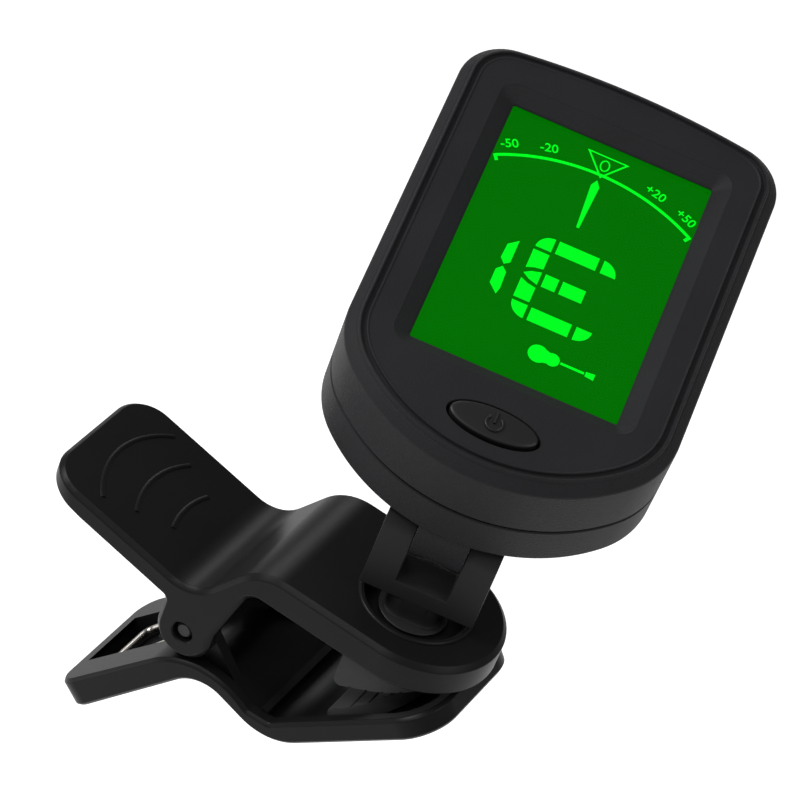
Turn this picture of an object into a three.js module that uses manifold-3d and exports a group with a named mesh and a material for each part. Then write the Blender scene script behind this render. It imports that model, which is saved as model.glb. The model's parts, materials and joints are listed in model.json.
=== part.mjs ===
// Clip-on instrument tuner. Millimetres, +Z up.
// Origin: where the swivel axis meets the gripping face of the upper jaw pad.
// +Z is the swivel axis, +X runs along the clip towards the jaw's tip, and the clip's width is along Y.
import * as THREE from "three";
import { mergeVertices } from "three/addons/utils/BufferGeometryUtils.js";
import Module from "manifold-3d";

const wasm = await Module();
wasm.setup();

// ---------------------------------------------------------------- driving dimensions

const GAP = 0.3; // between touching pieces
const HAIR = 0.02;
const HALF_TURN = Math.PI;
const QUARTER_TURN = Math.PI / 2;
const radians = THREE.MathUtils.degToRad;

// Clip
const CLIP_WIDTH = 19.6;
const CLIP_WALL = 1.6;
const JAW_TOP = 8.6; // top of the upper jaw above the origin
const TOP_WALL = 1.8;
const JAW_SIDE = 4.3; // height of the upper jaw's side walls
const JAW_TIP_X = 10.7;
const HANDLE_END_X = -42.7;
const HANDLE_CORNER = 4.5;
const EDGE_CHAMFER = 0.6;
const PIVOT = { x: -20.8, z: JAW_TOP - 14.6 };
const EAR_RADIUS = 3.5;
const PIVOT_PIN_RADIUS = 1.0;
const BEYOND_TIP = 14; // X of outline ends that the plan trims off at the jaw's tip
const BEYOND_HANDLE = HANDLE_END_X - 2; // and at the handle's end

// Lower lever: its jaw is a straight line that climbs towards the tip
const LOWER_JAW_ANGLE = radians(41);
const LOWER_JAW_START = { x: -3.4, z: JAW_TOP - 19.1 };
const LOWER_JAW_LENGTH = 18.9;
const LOWER_JAW_CORNER = 5.0;
const LOWER_HANDLE = { x: -30.2, z: JAW_TOP - 35.15 };
const LOWER_CREST = { x: -17.3, z: JAW_TOP - 18.8 };
const LOWER_DIP = { x: -6.9, z: JAW_TOP - 22.1 };
const LOWER_HANDLE_CORNER = 3.0;
const LOWER_END_BAR = 1.3;
const POCKET_HALF = 5.0; // half width of the lower handle's pocket
const JAW_WALL_HEIGHT = 2.75; // of the lower jaw's side walls, from its underside
const LOWER_WALL = 1.3;
const LUG_OUTSIDE = 7.7; // outer faces of the lower lever's pivot lugs, from the middle
const LUG_THICK = 1.5;
const FAR = 60; // half length of blocks that only trim

// Rubber pads
const PAD_GROOVE = { width: 0.5, depth: 0.4, pitch: 2.0 }; // grooves across both pads
const UPPER_PAD = { left: -3.2, right: 8.2, corner: 7.0, lean: radians(28), firstGroove: 2.37 };
const LOWER_PAD = { start: 4.0, end: 13.5, height: 3.5, firstGroove: 1.3 };

// Torsion spring
const SPRING = { wire: 0.45, coil: 2.0, turns: 2.31, pitch: 1.05, legY: 4.0, legLength: 18, sink: 1.3 };

// Swivel and tilt
const SWIVEL_AT_REST = radians(14.8);
const TILT_AT_REST = radians(17.1);
const RECESS_RADIUS = 5.9;
const BEAD = { inner: 6.15, outer: 6.75, height: 0.28 }; // raised ring round the recess
const RECESS_DEPTH = 1.7;
const FOOT = { radius: 4.7, thick: 0.4 }; // the fork's round foot in the recess
const NECK = { width: 6.4, depth: 5.0, corner: 2.0 };
const BOSS = { radius: 6.9, depth: 2.9 }; // under the recess, from the jaw's top
const WASHER = { radius: 3.2, hole: 1.4, thick: 0.4 };
const FORK_BOTTOM = JAW_TOP + 1.5;
const HINGE_HEIGHT = JAW_TOP + 9.8;
const FORK_WIDTH = 13.4;
const FORK_THICK = 5.1;
const FORK_WINDOW = 6.1;
const FORK_BASE = 2.1;
const HINGE_PIN_RADIUS = 0.8;

// Head, in its own frame: x across, y up the face from the lowest point, z out of the face
const HEAD_WIDTH = 38.2;
const HEAD_HEIGHT = 56.4;
const HEAD_DEPTH = 14.5;
const SEAM_DEPTH = 8.6;
const SHELL_WALL = 1.6;
const FACE_THICK = 1.5;
const SHOULDER = { size: 1.3, depth: 1.3 };
const BACK_ROUND = 0.6;
const TOP_RADIUS = 95;
const TOP_CORNER = 6;
const BOTTOM_RADIUS = 22.3;
const BOTTOM_CORNER = 10.8;
const HINGE_Y = 2.65;
const HINGE_BEHIND = 3.6; // hinge axis behind the head's back
const KNUCKLE_RADIUS = 2.9;
const DISPLAY = { width: 24.0, height: 34.4, y: 30.85, depth: 1.4, flare: 2.0 };
const BUTTON = { y: 6.4, halfWidth: 5.0, halfHeight: 1.95 };
const SCREW_X = 15.4;
const SCREW_YS = [13.5, 46];
const SCREW_POST = { front: 2.1, rear: 2.3, hole: 1.1, sink: 1.8 };
const BACK_WALL = 1.4;
const LIP = { inset: 2.9, height: 1.2 }; // locating lip between the shells
const BOARD_TOP = -6.6;
const BOARD_BOTTOM = -7.6;
const CELL_TOP = -9.5;
const CELL_RADIUS = 10;
const CELL_THICK = 3.2;
const DOOR = { width: 22, height: 25, y: 31, thick: 1.2 };

// ---------------------------------------------------------------- solids

function solid(geometry) {
  const bare = geometry.index ? geometry.toNonIndexed() : geometry.clone();
  bare.deleteAttribute("normal");
  bare.deleteAttribute("uv");
  const merged = mergeVertices(bare, 1e-4);
  return new wasm.Manifold(
    new wasm.Mesh({
      numProp: 3,
      vertProperties: merged.attributes.position.array,
      triVerts: new Uint32Array(merged.index.array),
    }),
  );
}

function geometryOf(manifold) {
  const mesh = manifold.getMesh();
  const geometry = new THREE.BufferGeometry();
  geometry.setAttribute("position", new THREE.BufferAttribute(mesh.vertProperties, 3));
  geometry.setIndex(new THREE.BufferAttribute(mesh.triVerts, 1));
  return geometry;
}

const join = (...solids) => solids.reduce((all, one) => all.add(one));
const cut = (body, ...tools) => tools.reduce((left, tool) => left.subtract(tool), body);

// ---------------------------------------------------------------- outlines and basic forms

// A closed outline through corners [x, y, radius]; each corner with a radius is rounded by an arc.
function outline(corners) {
  const shape = new THREE.Shape();
  corners.forEach(([x, y, radius = 0], i) => {
    const corner = new THREE.Vector2(x, y);
    const before = new THREE.Vector2(...corners.at(i - 1)).sub(corner).normalize();
    const after = new THREE.Vector2(...corners[(i + 1) % corners.length]).sub(corner).normalize();
    const half = Math.acos(THREE.MathUtils.clamp(before.dot(after), -1, 1)) / 2;
    const start = corner.clone().addScaledVector(before, radius / Math.tan(half));
    const end = corner.clone().addScaledVector(after, radius / Math.tan(half));
    if (i === 0) shape.moveTo(start.x, start.y);
    else shape.lineTo(start.x, start.y);
    if (radius === 0) return;
    const middle = before.clone().add(after).normalize();
    const centre = corner.clone().addScaledVector(middle, radius / Math.sin(half));
    const from = Math.atan2(start.y - centre.y, start.x - centre.x);
    const to = Math.atan2(end.y - centre.y, end.x - centre.x);
    const clockwise = before.cross(after) > 0;
    shape.absarc(centre.x, centre.y, radius, from, to, clockwise);
  });
  shape.closePath();
  return shape;
}

function rectangle(width, height, radius = 0, x = 0, y = 0) {
  const [w, h] = [width / 2, height / 2];
  return outline([
    [x - w, y - h, radius],
    [x + w, y - h, radius],
    [x + w, y + h, radius],
    [x - w, y + h, radius],
  ]);
}

// A strip along X with square or rounded left corners and a half-round right end.
function tongue(left, right, half, corner = 0) {
  return outline([
    [left, -half, corner],
    [right, -half, half],
    [right, half, half],
    [left, half, corner],
  ]);
}

function ellipse(halfWidth, halfHeight, x = 0, y = 0) {
  const shape = new THREE.Shape();
  shape.absellipse(x, y, halfWidth, halfHeight, 0, 2 * Math.PI);
  return shape;
}

// The outline as a polygon, without the repeated points that arcs leave where they meet.
function polygon(shape, curveSegments) {
  const points = shape.getPoints(curveSegments);
  return new THREE.Shape(points.filter((point, i) => point.distanceTo(points.at(i - 1)) > 2e-3));
}

// Extrude along +Z from low to high. A bevel rounds both ends inside the outline.
function plate(shape, low, high, bevel = null, curveSegments = 4) {
  const size = bevel ? bevel.size : 0;
  const depth = bevel ? bevel.depth : 0;
  const geometry = new THREE.ExtrudeGeometry(polygon(shape, curveSegments), {
    depth: high - low - 2 * depth,
    bevelEnabled: Boolean(bevel),
    bevelSize: size,
    bevelOffset: -size,
    bevelThickness: depth,
    bevelSegments: bevel && bevel.segments ? bevel.segments : 1,
  });
  return solid(geometry.translate(0, 0, low + depth));
}

// Extrude an outline drawn in X and Z along the width, from y = low to y = high.
function profile(shape, low, high, bevel = null, curveSegments = 4) {
  return plate(shape, -high, -low, bevel, curveSegments).rotate([90, 0, 0]);
}

// Extrude an outline drawn in Y and Z along X, from x = low to x = high.
function crosswise(shape, low, high) {
  return plate(shape, low, high).rotate([90, 0, 90]);
}

// A turned solid about +Z through points [radius, z], which run up the outside from the axis to the axis.
function turned(points, segments = 24) {
  const line = points.map(([r, z]) => new THREE.Vector2(r, z));
  return solid(new THREE.LatheGeometry(line, segments).rotateX(QUARTER_TURN));
}

function disc(radius, low, high, segments = 24) {
  return turned([[0, low], [radius, low], [radius, high], [0, high]], segments);
}

const along = {
  x: (body) => body.rotate([0, 90, 0]),
  y: (body) => body.rotate([-90, 0, 0]),
};

// ---------------------------------------------------------------- materials

const material = (color, roughness, metalness = 0, more = {}) =>
  new THREE.MeshStandardMaterial({ color, roughness, metalness, ...more });

const MATERIALS = {
  casing: material(0x2b2c2f, 0.62),
  clip: material(0x161617, 0.34),
  fork: material(0x1d1d1f, 0.45),
  button: material(0x1b1b1d, 0.4),
  window: material(0xdfe8e2, 0.05, 0, { transparent: true, opacity: 0.25 }),
  display: material(0x0b7a12, 0.2),
  backlight: material(0x9fe39a, 0.4),
  rubber: material(0x101010, 0.85),
  steel: material(0xb9babd, 0.28, 1),
  board: material(0x14532b, 0.5),
  brass: material(0xc9a24d, 0.35, 1),
  chip: material(0x0c0c0d, 0.5),
};

function piece(name, manifold, slot) {
  const mesh = new THREE.Mesh(geometryOf(manifold), MATERIALS[slot]);
  mesh.name = name;
  return mesh;
}

// ---------------------------------------------------------------- head outline

// The head's outline, moved in by an inset: straight sides, a shallow arc on top and a deep one below.
function headOutline(inset = 0) {
  const half = HEAD_WIDTH / 2 - inset;
  const topR = TOP_RADIUS - inset;
  const bottomR = BOTTOM_RADIUS - inset;
  const topCorner = TOP_CORNER - inset;
  const bottomCorner = BOTTOM_CORNER - inset;
  const topX = half - topCorner;
  const bottomX = half - bottomCorner;
  const topCentreY = HEAD_HEIGHT - TOP_RADIUS;
  const topCornerY = topCentreY + Math.sqrt((topR - topCorner) ** 2 - topX ** 2);
  const bottomCornerY = BOTTOM_RADIUS - Math.sqrt((bottomR - bottomCorner) ** 2 - bottomX ** 2);
  const topAngle = Math.atan2(topCornerY - topCentreY, topX);
  const bottomAngle = Math.atan2(BOTTOM_RADIUS - bottomCornerY, bottomX);
  const shape = new THREE.Shape();
  shape.moveTo(half, bottomCornerY);
  shape.absarc(topX, topCornerY, topCorner, 0, topAngle);
  shape.absarc(0, topCentreY, topR, topAngle, HALF_TURN - topAngle);
  shape.absarc(-topX, topCornerY, topCorner, HALF_TURN - topAngle, HALF_TURN);
  shape.absarc(-bottomX, bottomCornerY, bottomCorner, HALF_TURN, HALF_TURN + bottomAngle);
  shape.absarc(0, BOTTOM_RADIUS, bottomR, HALF_TURN + bottomAngle, 2 * HALF_TURN - bottomAngle);
  shape.absarc(bottomX, bottomCornerY, bottomCorner, 2 * HALF_TURN - bottomAngle, 2 * HALF_TURN);
  shape.closePath();
  return shape;
}

function forEachScrew(make) {
  return SCREW_YS.flatMap((y) => [-SCREW_X, SCREW_X].map((x) => make(x, y)));
}

// A disc at each screw.
function screwDiscs(radius, low, high) {
  return forEachScrew((x, y) => disc(radius, low, high, 12).translate([x, y, 0]));
}

// ---------------------------------------------------------------- head pieces

function frontShell() {
  const seam = -SEAM_DEPTH + GAP / 2;
  const faceUnder = -FACE_THICK;
  const shoulder = { ...SHOULDER, segments: 3 };
  const block = plate(headOutline(), -HEAD_DEPTH, 0, shoulder);
  const below = plate(headOutline(-3), -HEAD_DEPTH - 1, seam);
  const cavity = plate(headOutline(SHELL_WALL), seam - 1, faceUnder);
  const { width, height, y, depth, flare } = DISPLAY;
  const mouth = rectangle(width + 2 * flare, height + 2 * flare, flare + 0.4, 0, y);
  const flared = plate(mouth, -depth, depth + 1, { size: flare, depth });
  const opening = plate(rectangle(width, height, 0.4, 0, y), faceUnder - 1, 0);
  const buttonHole = plate(
    ellipse(BUTTON.halfWidth + 0.35, BUTTON.halfHeight + 0.35, 0, BUTTON.y),
    faceUnder - 1,
    1,
  );
  const shell = cut(block, below, cavity, flared, opening, buttonHole);
  const posts = screwDiscs(SCREW_POST.front, seam, faceUnder + 0.2);
  const holes = screwDiscs(SCREW_POST.hole, seam - 1, faceUnder - 0.4);
  return cut(join(shell, ...posts), ...holes);
}

function rearShell() {
  const top = -SEAM_DEPTH - GAP / 2;
  const inside = -HEAD_DEPTH + BACK_WALL;
  const rounded = { size: BACK_ROUND, depth: BACK_ROUND, segments: 3 };
  const block = plate(headOutline(), -HEAD_DEPTH, 0, rounded);
  const above = plate(headOutline(-3), top, 2);
  const cavity = plate(headOutline(SHELL_WALL), inside, top + 1);
  const lipLow = top - LIP.height;
  const lipHigh = top + LIP.height;
  const lipInside = plate(headOutline(LIP.inset), lipLow - 1, lipHigh + 1);
  const lip = cut(
    join(
      plate(headOutline(SHELL_WALL - 0.2), lipLow, top),
      plate(headOutline(SHELL_WALL + GAP), lipLow, lipHigh),
    ),
    lipInside,
  );
  const postClearance = screwDiscs(SCREW_POST.front + 0.5, top, lipHigh + 1);
  const posts = screwDiscs(SCREW_POST.rear, inside - 0.2, top);
  const shanks = screwDiscs(SCREW_POST.hole, -HEAD_DEPTH - 1, top + 1);
  const sinks = screwDiscs(SCREW_POST.sink, -HEAD_DEPTH - 1, -HEAD_DEPTH + 1.5);
  const bay = plate(
    rectangle(DOOR.width + 2 * GAP, DOOR.height + 2 * GAP, 2, 0, DOOR.y),
    -HEAD_DEPTH - 1,
    inside + 1,
  );
  const hingeZ = -HEAD_DEPTH - HINGE_BEHIND;
  const barrel = new THREE.Shape();
  barrel.moveTo(HINGE_Y + KNUCKLE_RADIUS, -HEAD_DEPTH + 0.5);
  barrel.lineTo(HINGE_Y - KNUCKLE_RADIUS + 0.6, -HEAD_DEPTH + 0.5);
  barrel.lineTo(HINGE_Y - KNUCKLE_RADIUS, -HEAD_DEPTH - 1);
  barrel.absarc(HINGE_Y, hingeZ, KNUCKLE_RADIUS, HALF_TURN, 2 * HALF_TURN);
  barrel.closePath();
  const halfKnuckle = FORK_WINDOW / 2 - GAP;
  const knuckle = crosswise(barrel, -halfKnuckle, halfKnuckle);
  const pinHole = along.x(disc(HINGE_PIN_RADIUS + GAP, -8, 8, 16)).translate([0, HINGE_Y, hingeZ]);
  const shell = join(cut(block, above, cavity), cut(lip, ...postClearance), ...posts, knuckle);
  return cut(shell, ...shanks, ...sinks, bay, pinHole);
}

function displayParts() {
  const { width, height, y } = DISPLAY;
  const under = -FACE_THICK - GAP;
  // The window's middle stands in the shell's opening, and its rim lies behind the face.
  const rim = plate(rectangle(width + 1.2, height + 1.2, 0.8, 0, y), under - 0.6, under);
  const middle = plate(rectangle(width - 2 * GAP, height - 2 * GAP, 0.3, 0, y), under - 0.3, -FACE_THICK);
  const panel = plate(rectangle(width + 1.2, height + 1.4, 0, 0, y), under - 2.7, under - 0.9);
  const light = plate(rectangle(width, height - 4, 0.5, 0, y + 2), under - 4.5, under - 3.2);
  const strip = plate(rectangle(width - 2, 2.4, 0, 0, y - height / 2 + 0.4), under - 4.5, under - 3.2);
  return [
    piece("display_window", join(rim, middle), "window"),
    piece("display_panel", panel, "display"),
    piece("display_backlight", light, "backlight"),
    piece("zebra_strip", strip, "rubber"),
  ];
}

function electronics() {
  const board = plate(
    outline([
      [-6.5, 4.6, 1],
      [6.5, 4.6, 1],
      [12.4, 9.5, 1],
      [12.4, 50.8, 1],
      [-12.4, 50.8, 1],
      [-12.4, 9.5, 1],
    ]),
    BOARD_BOTTOM,
    BOARD_TOP,
  );
  const chip = plate(rectangle(7, 7, 0, 3, 13), BOARD_BOTTOM - 1.3, BOARD_BOTTOM - GAP);
  const switchBody = plate(rectangle(6, 3.6, 0.3, 0, BUTTON.y), BOARD_TOP + GAP, BOARD_TOP + 1.5);
  const plunger = disc(1, BOARD_TOP + 1.2, BOARD_TOP + 1.9, 12).translate([0, BUTTON.y, 0]);
  const piezo = disc(5, -12.7, -12.2, 24).translate([0, 9.2, 0]);
  return [
    piece("circuit_board", board, "board"),
    piece("controller_chip", chip, "chip"),
    piece("tact_switch", join(switchBody, plunger), "steel"),
    piece("piezo_disc", piezo, "brass"),
  ];
}

function battery() {
  const crimp = 0.5;
  const cell = turned([
    [0, CELL_TOP - CELL_THICK],
    [CELL_RADIUS, CELL_TOP - CELL_THICK],
    [CELL_RADIUS, CELL_TOP - crimp],
    [CELL_RADIUS - 1, CELL_TOP - crimp],
    [CELL_RADIUS - 1.3, CELL_TOP],
    [0, CELL_TOP],
  ]).translate([0, DOOR.y, 0]);
  const stripTop = BOARD_BOTTOM - GAP;
  const stripLow = stripTop - 0.3;
  // Negative: a low bridge of strip that presses on the cell's inner face.
  const strip = outline([
    [-6, stripTop],
    [-6, stripLow],
    [-2.4, stripLow],
    [-0.6, CELL_TOP + GAP],
    [0.6, CELL_TOP + GAP],
    [2.4, stripLow],
    [6, stripLow],
    [6, stripTop],
    [2, stripTop],
    [0.4, CELL_TOP + GAP + 0.35],
    [-0.4, CELL_TOP + GAP + 0.35],
    [-2, stripTop],
  ]);
  const negative = profile(strip, DOOR.y - 1.5, DOOR.y + 1.5);
  // Positive: an L of strip that stands against the cell's rim.
  const rim = DOOR.y + CELL_RADIUS + GAP;
  const angle = outline([
    [rim, CELL_TOP - 2.8],
    [rim + 0.3, CELL_TOP - 2.8],
    [rim + 0.3, stripLow],
    [rim + 4, stripLow],
    [rim + 4, stripTop],
    [rim, stripTop],
  ]);
  const positive = crosswise(angle, -3, 3);
  const { width, height, y, thick } = DOOR;
  const door = plate(rectangle(width, height, 1.8, 0, y), -HEAD_DEPTH, -HEAD_DEPTH + thick);
  const grip = plate(rectangle(9, 1.2, 0.5, 0, y + height / 2 - 3), -HEAD_DEPTH - 1, -HEAD_DEPTH + 0.5);
  return [
    piece("coin_cell", cell, "steel"),
    piece("battery_contact_negative", negative, "steel"),
    piece("battery_contact_positive", positive, "steel"),
    piece("battery_door", cut(door, grip), "casing"),
  ];
}

function powerButton() {
  const { halfWidth, halfHeight, y } = BUTTON;
  const dome = { size: 1.1, depth: 0.55, segments: 3 };
  const cap = plate(ellipse(halfWidth, halfHeight, 0, y), -2.4, 0.35, dome);
  const flange = plate(ellipse(halfWidth + 1, halfHeight + 0.9, 0, y), -2.6, -FACE_THICK - GAP);
  const stem = disc(1.2, -4.2, -2.4, 12).translate([0, y, 0]);
  return piece("power_button", join(cap, flange, stem), "button");
}

function shellScrew(x, y, index) {
  const headLow = -HEAD_DEPTH + 0.2;
  const headHigh = headLow + 1.0;
  const screw = turned(
    [[0, headLow], [1.5, headLow], [1.5, headHigh], [0.8, headHigh], [0.8, -4], [0, -3.2]],
    12,
  );
  return piece("shell_screw_" + index, screw.translate([x, y, 0]), "steel");
}

function head() {
  const group = new THREE.Group();
  group.add(
    piece("front_shell", frontShell(), "casing"),
    piece("rear_shell", rearShell(), "casing"),
    ...displayParts(),
    ...electronics(),
    ...battery(),
    powerButton(),
  );
  let index = 0;
  forEachScrew((x, y) => {
    index += 1;
    group.add(shellScrew(x, y, index));
  });
  // The group turns about the hinge pin.
  group.children.forEach((mesh) => mesh.geometry.translate(0, -HINGE_Y, HEAD_DEPTH + HINGE_BEHIND));
  group.position.set(0, 0, HINGE_HEIGHT);
  group.rotation.x = TILT_AT_REST;
  return group;
}

// ---------------------------------------------------------------- swivel pieces

function fork() {
  const half = FORK_THICK / 2;
  const side = new THREE.Shape();
  side.moveTo(-half, FORK_BOTTOM);
  side.lineTo(half, FORK_BOTTOM);
  side.absarc(0, HINGE_HEIGHT, half, 0, HALF_TURN);
  side.closePath();
  const block = crosswise(side, -FORK_WIDTH / 2, FORK_WIDTH / 2);
  const floor = FORK_BOTTOM + FORK_BASE;
  const window = plate(rectangle(FORK_WINDOW, FORK_THICK + 2), floor, HINGE_HEIGHT + 10);
  const pinHole = along.x(disc(HINGE_PIN_RADIUS + GAP, -10, 10, 16)).translate([0, 0, HINGE_HEIGHT]);
  const foot = JAW_TOP - RECESS_DEPTH + GAP;
  const round = disc(FOOT.radius, foot, foot + FOOT.thick, 32);
  const section = rectangle(NECK.width, NECK.depth, NECK.corner);
  const neck = plate(section, foot + FOOT.thick / 2, FORK_BOTTOM + 0.3);
  const screwHole = disc(1.1, foot - 1, FORK_BOTTOM + 1.7, 16);
  return cut(join(cut(block, window), round, neck), pinHole, screwHole);
}

function swivel() {
  const group = new THREE.Group();
  const pin = along.x(disc(HINGE_PIN_RADIUS, -FORK_WIDTH / 2 + 0.2, FORK_WIDTH / 2 - 0.2, 16));
  const washerTop = JAW_TOP - BOSS.depth - GAP;
  const washerLow = washerTop - WASHER.thick;
  const washer = cut(
    disc(WASHER.radius, washerLow, washerTop),
    disc(WASHER.hole, washerLow - 1, washerTop + 1),
  );
  const headTop = washerLow - GAP;
  const screw = turned([
    [0, headTop - 1.0],
    [2.4, headTop - 1.0],
    [2.6, headTop - 0.7],
    [2.6, headTop],
    [0.8, headTop],
    [0.8, FORK_BOTTOM + 1.2],
    [0, FORK_BOTTOM + 1.4],
  ]);
  group.add(
    piece("swivel_fork", fork(), "fork"),
    piece("hinge_pin", pin.translate([0, 0, HINGE_HEIGHT]), "steel"),
    piece("swivel_washer", washer, "steel"),
    piece("swivel_screw", screw, "steel"),
    head(),
  );
  group.rotation.z = SWIVEL_AT_REST;
  return group;
}

// ---------------------------------------------------------------- upper lever

// The lever's top line, from the handle's end over the hump to the jaw's tip, moved down by drop.
function upperTopLine(drop) {
  return [
    [BEYOND_HANDLE, JAW_TOP - 4.45 - drop],
    [-21.2, JAW_TOP - 9.1 - drop, 5.0 + drop * 0.5],
    [-15.0, JAW_TOP - drop, 6.5],
    [BEYOND_TIP, JAW_TOP - drop],
  ];
}

// The rim of the side walls: along the handle, round the ear and along the jaw.
function upperRim() {
  const { x, z } = PIVOT;
  return [
    [BEYOND_TIP, JAW_TOP - JAW_SIDE],
    [x + 5.6, JAW_TOP - JAW_SIDE, 2],
    [x + EAR_RADIUS, z + 1.8],
    [x + EAR_RADIUS, z - EAR_RADIUS, EAR_RADIUS - 0.1],
    [x - EAR_RADIUS, z - EAR_RADIUS, EAR_RADIUS - 0.1],
    [x - EAR_RADIUS, z + 2.9, 0.5],
    [-37, JAW_TOP - 9.1],
    [BEYOND_HANDLE, JAW_TOP - 6.9],
  ];
}

function leverPlan(inset) {
  const corner = HANDLE_CORNER - inset / 2;
  return tongue(HANDLE_END_X + inset, JAW_TIP_X - inset, CLIP_WIDTH / 2 - inset, corner);
}

function upperLever() {
  const half = CLIP_WIDTH / 2;
  const inner = half - CLIP_WALL;
  const deep = JAW_TOP - 40;
  const chamfer = { size: EDGE_CHAMFER, depth: EDGE_CHAMFER };
  // Everything below the top line, with the line's edges chamfered, then cut off at the rim.
  const under = outline([...upperTopLine(0), [BEYOND_TIP, deep], [BEYOND_HANDLE, deep]]);
  const ribbon = outline([...upperTopLine(-1), ...upperRim()]);
  // The plan stands a hair proud of the sides, so that no two chamfers lie in one plane.
  const plan = plate(leverPlan(-HAIR), deep, JAW_TOP + HAIR, chamfer);
  const body = profile(under, -half, half, chamfer)
    .intersect(profile(ribbon, -half - 1, half + 1))
    .intersect(plan);
  const hollow = profile(
    outline([...upperTopLine(TOP_WALL), [BEYOND_TIP, deep], [BEYOND_HANDLE, deep]]),
    -inner,
    inner,
  ).intersect(plate(leverPlan(CLIP_WALL), deep, JAW_TOP + 10));
  const boss = disc(BOSS.radius, JAW_TOP - BOSS.depth, JAW_TOP - TOP_WALL + 0.2, 32);
  const beadTop = JAW_TOP + BEAD.height;
  const bead = turned(
    [
      [0, JAW_TOP - 0.5],
      [BEAD.outer, JAW_TOP - 0.5],
      [BEAD.outer, beadTop - 0.15],
      [BEAD.outer - 0.2, beadTop],
      [0, beadTop],
    ],
    32,
  );
  const rimLow = JAW_TOP - RECESS_DEPTH;
  const recess = turned(
    [
      [0, rimLow],
      [RECESS_RADIUS, rimLow],
      [RECESS_RADIUS, JAW_TOP],
      [BEAD.inner, beadTop],
      [BEAD.inner, beadTop + 1],
      [0, beadTop + 1],
    ],
    32,
  );
  const screwHole = disc(1.4, JAW_TOP - 6, JAW_TOP, 16);
  const pinHole = along.y(disc(PIVOT_PIN_RADIUS + GAP, -half - 1, half + 1, 20));
  const lever = join(cut(body, hollow), boss, bead);
  return cut(lever, recess, screwHole, pinHole.translate([PIVOT.x, 0, PIVOT.z]));
}

// ---------------------------------------------------------------- lower lever

const jawDirection = { x: Math.cos(LOWER_JAW_ANGLE), z: Math.sin(LOWER_JAW_ANGLE) };

// A point on the lower jaw: s along its underside from the dip, n square to it.
function onLowerJaw(s, n, radius = 0) {
  const x = LOWER_JAW_START.x + s * jawDirection.x - n * jawDirection.z;
  const z = LOWER_JAW_START.z + s * jawDirection.z + n * jawDirection.x;
  return [x, z, radius];
}

// The lower lever's underside, from the tip back to the handle's end.
function lowerUnderside(rise) {
  return [
    onLowerJaw(LOWER_JAW_LENGTH + 4, rise),
    [LOWER_DIP.x - rise * 0.25, LOWER_DIP.z + rise * 1.1, 7.3 - rise * 0.5],
    [LOWER_CREST.x, LOWER_CREST.z + rise, 5.0],
    [LOWER_HANDLE.x - rise * 0.78, LOWER_HANDLE.z + rise * 0.62],
  ];
}

// The side walls' rim, from the handle's end to the tip.
function lowerRim() {
  return [
    [-34.4, JAW_TOP - 34.5],
    [-18.5, JAW_TOP - 15.3, 9.4],
    [-10.4, JAW_TOP - 19.2, 0.6],
    onLowerJaw(-3.1, JAW_WALL_HEIGHT, 0.8),
    onLowerJaw(LOWER_JAW_LENGTH + 4, JAW_WALL_HEIGHT),
  ];
}

// Turn a solid drawn along X so that it lies along the lower jaw.
function alongLowerJaw(body) {
  const degrees = THREE.MathUtils.radToDeg(LOWER_JAW_ANGLE);
  return body.rotate([0, -degrees, 0]).translate([LOWER_JAW_START.x, 0, LOWER_JAW_START.z]);
}

// The lower lever seen square to its jaw or its handle, as a prism that trims it to rounded ends.
function lowerTrim(inset) {
  const half = CLIP_WIDTH / 2 - inset;
  const handleTurn = Math.atan2(LOWER_CREST.z - LOWER_HANDLE.z, LOWER_CREST.x - LOWER_HANDLE.x);
  const handlePlan = outline([
    [inset, -half, LOWER_HANDLE_CORNER],
    [FAR, -half],
    [FAR, half],
    [inset, half, LOWER_HANDLE_CORNER],
  ]);
  const handlePrism = plate(handlePlan, -FAR, FAR)
    .rotate([0, -THREE.MathUtils.radToDeg(handleTurn), 0])
    .translate([LOWER_HANDLE.x, 0, LOWER_HANDLE.z]);
  const tipCorner = LOWER_JAW_CORNER - inset / 2;
  const tipPlan = outline([
    [-FAR, -half],
    [LOWER_JAW_LENGTH - inset, -half, tipCorner],
    [LOWER_JAW_LENGTH - inset, half, tipCorner],
    [-FAR, half],
  ]);
  return handlePrism.intersect(alongLowerJaw(plate(tipPlan, -FAR, FAR)));
}

function lowerLug(side) {
  const { x, z } = PIVOT;
  const shape = outline([
    [x - 3.1, z - 4.6],
    [x - 2.9, z + 2.9, 2.6],
    [x + 2.9, z + 2.9, 2.6],
    [x + 3.0, z + 0.2, 0.6],
    [x + 8.4, z - 4.9],
    [x + 4, z - 4.4],
  ]);
  const outer = LUG_OUTSIDE;
  const inner = LUG_OUTSIDE - LUG_THICK;
  return side > 0 ? profile(shape, inner, outer) : profile(shape, -outer, -inner);
}

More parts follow.
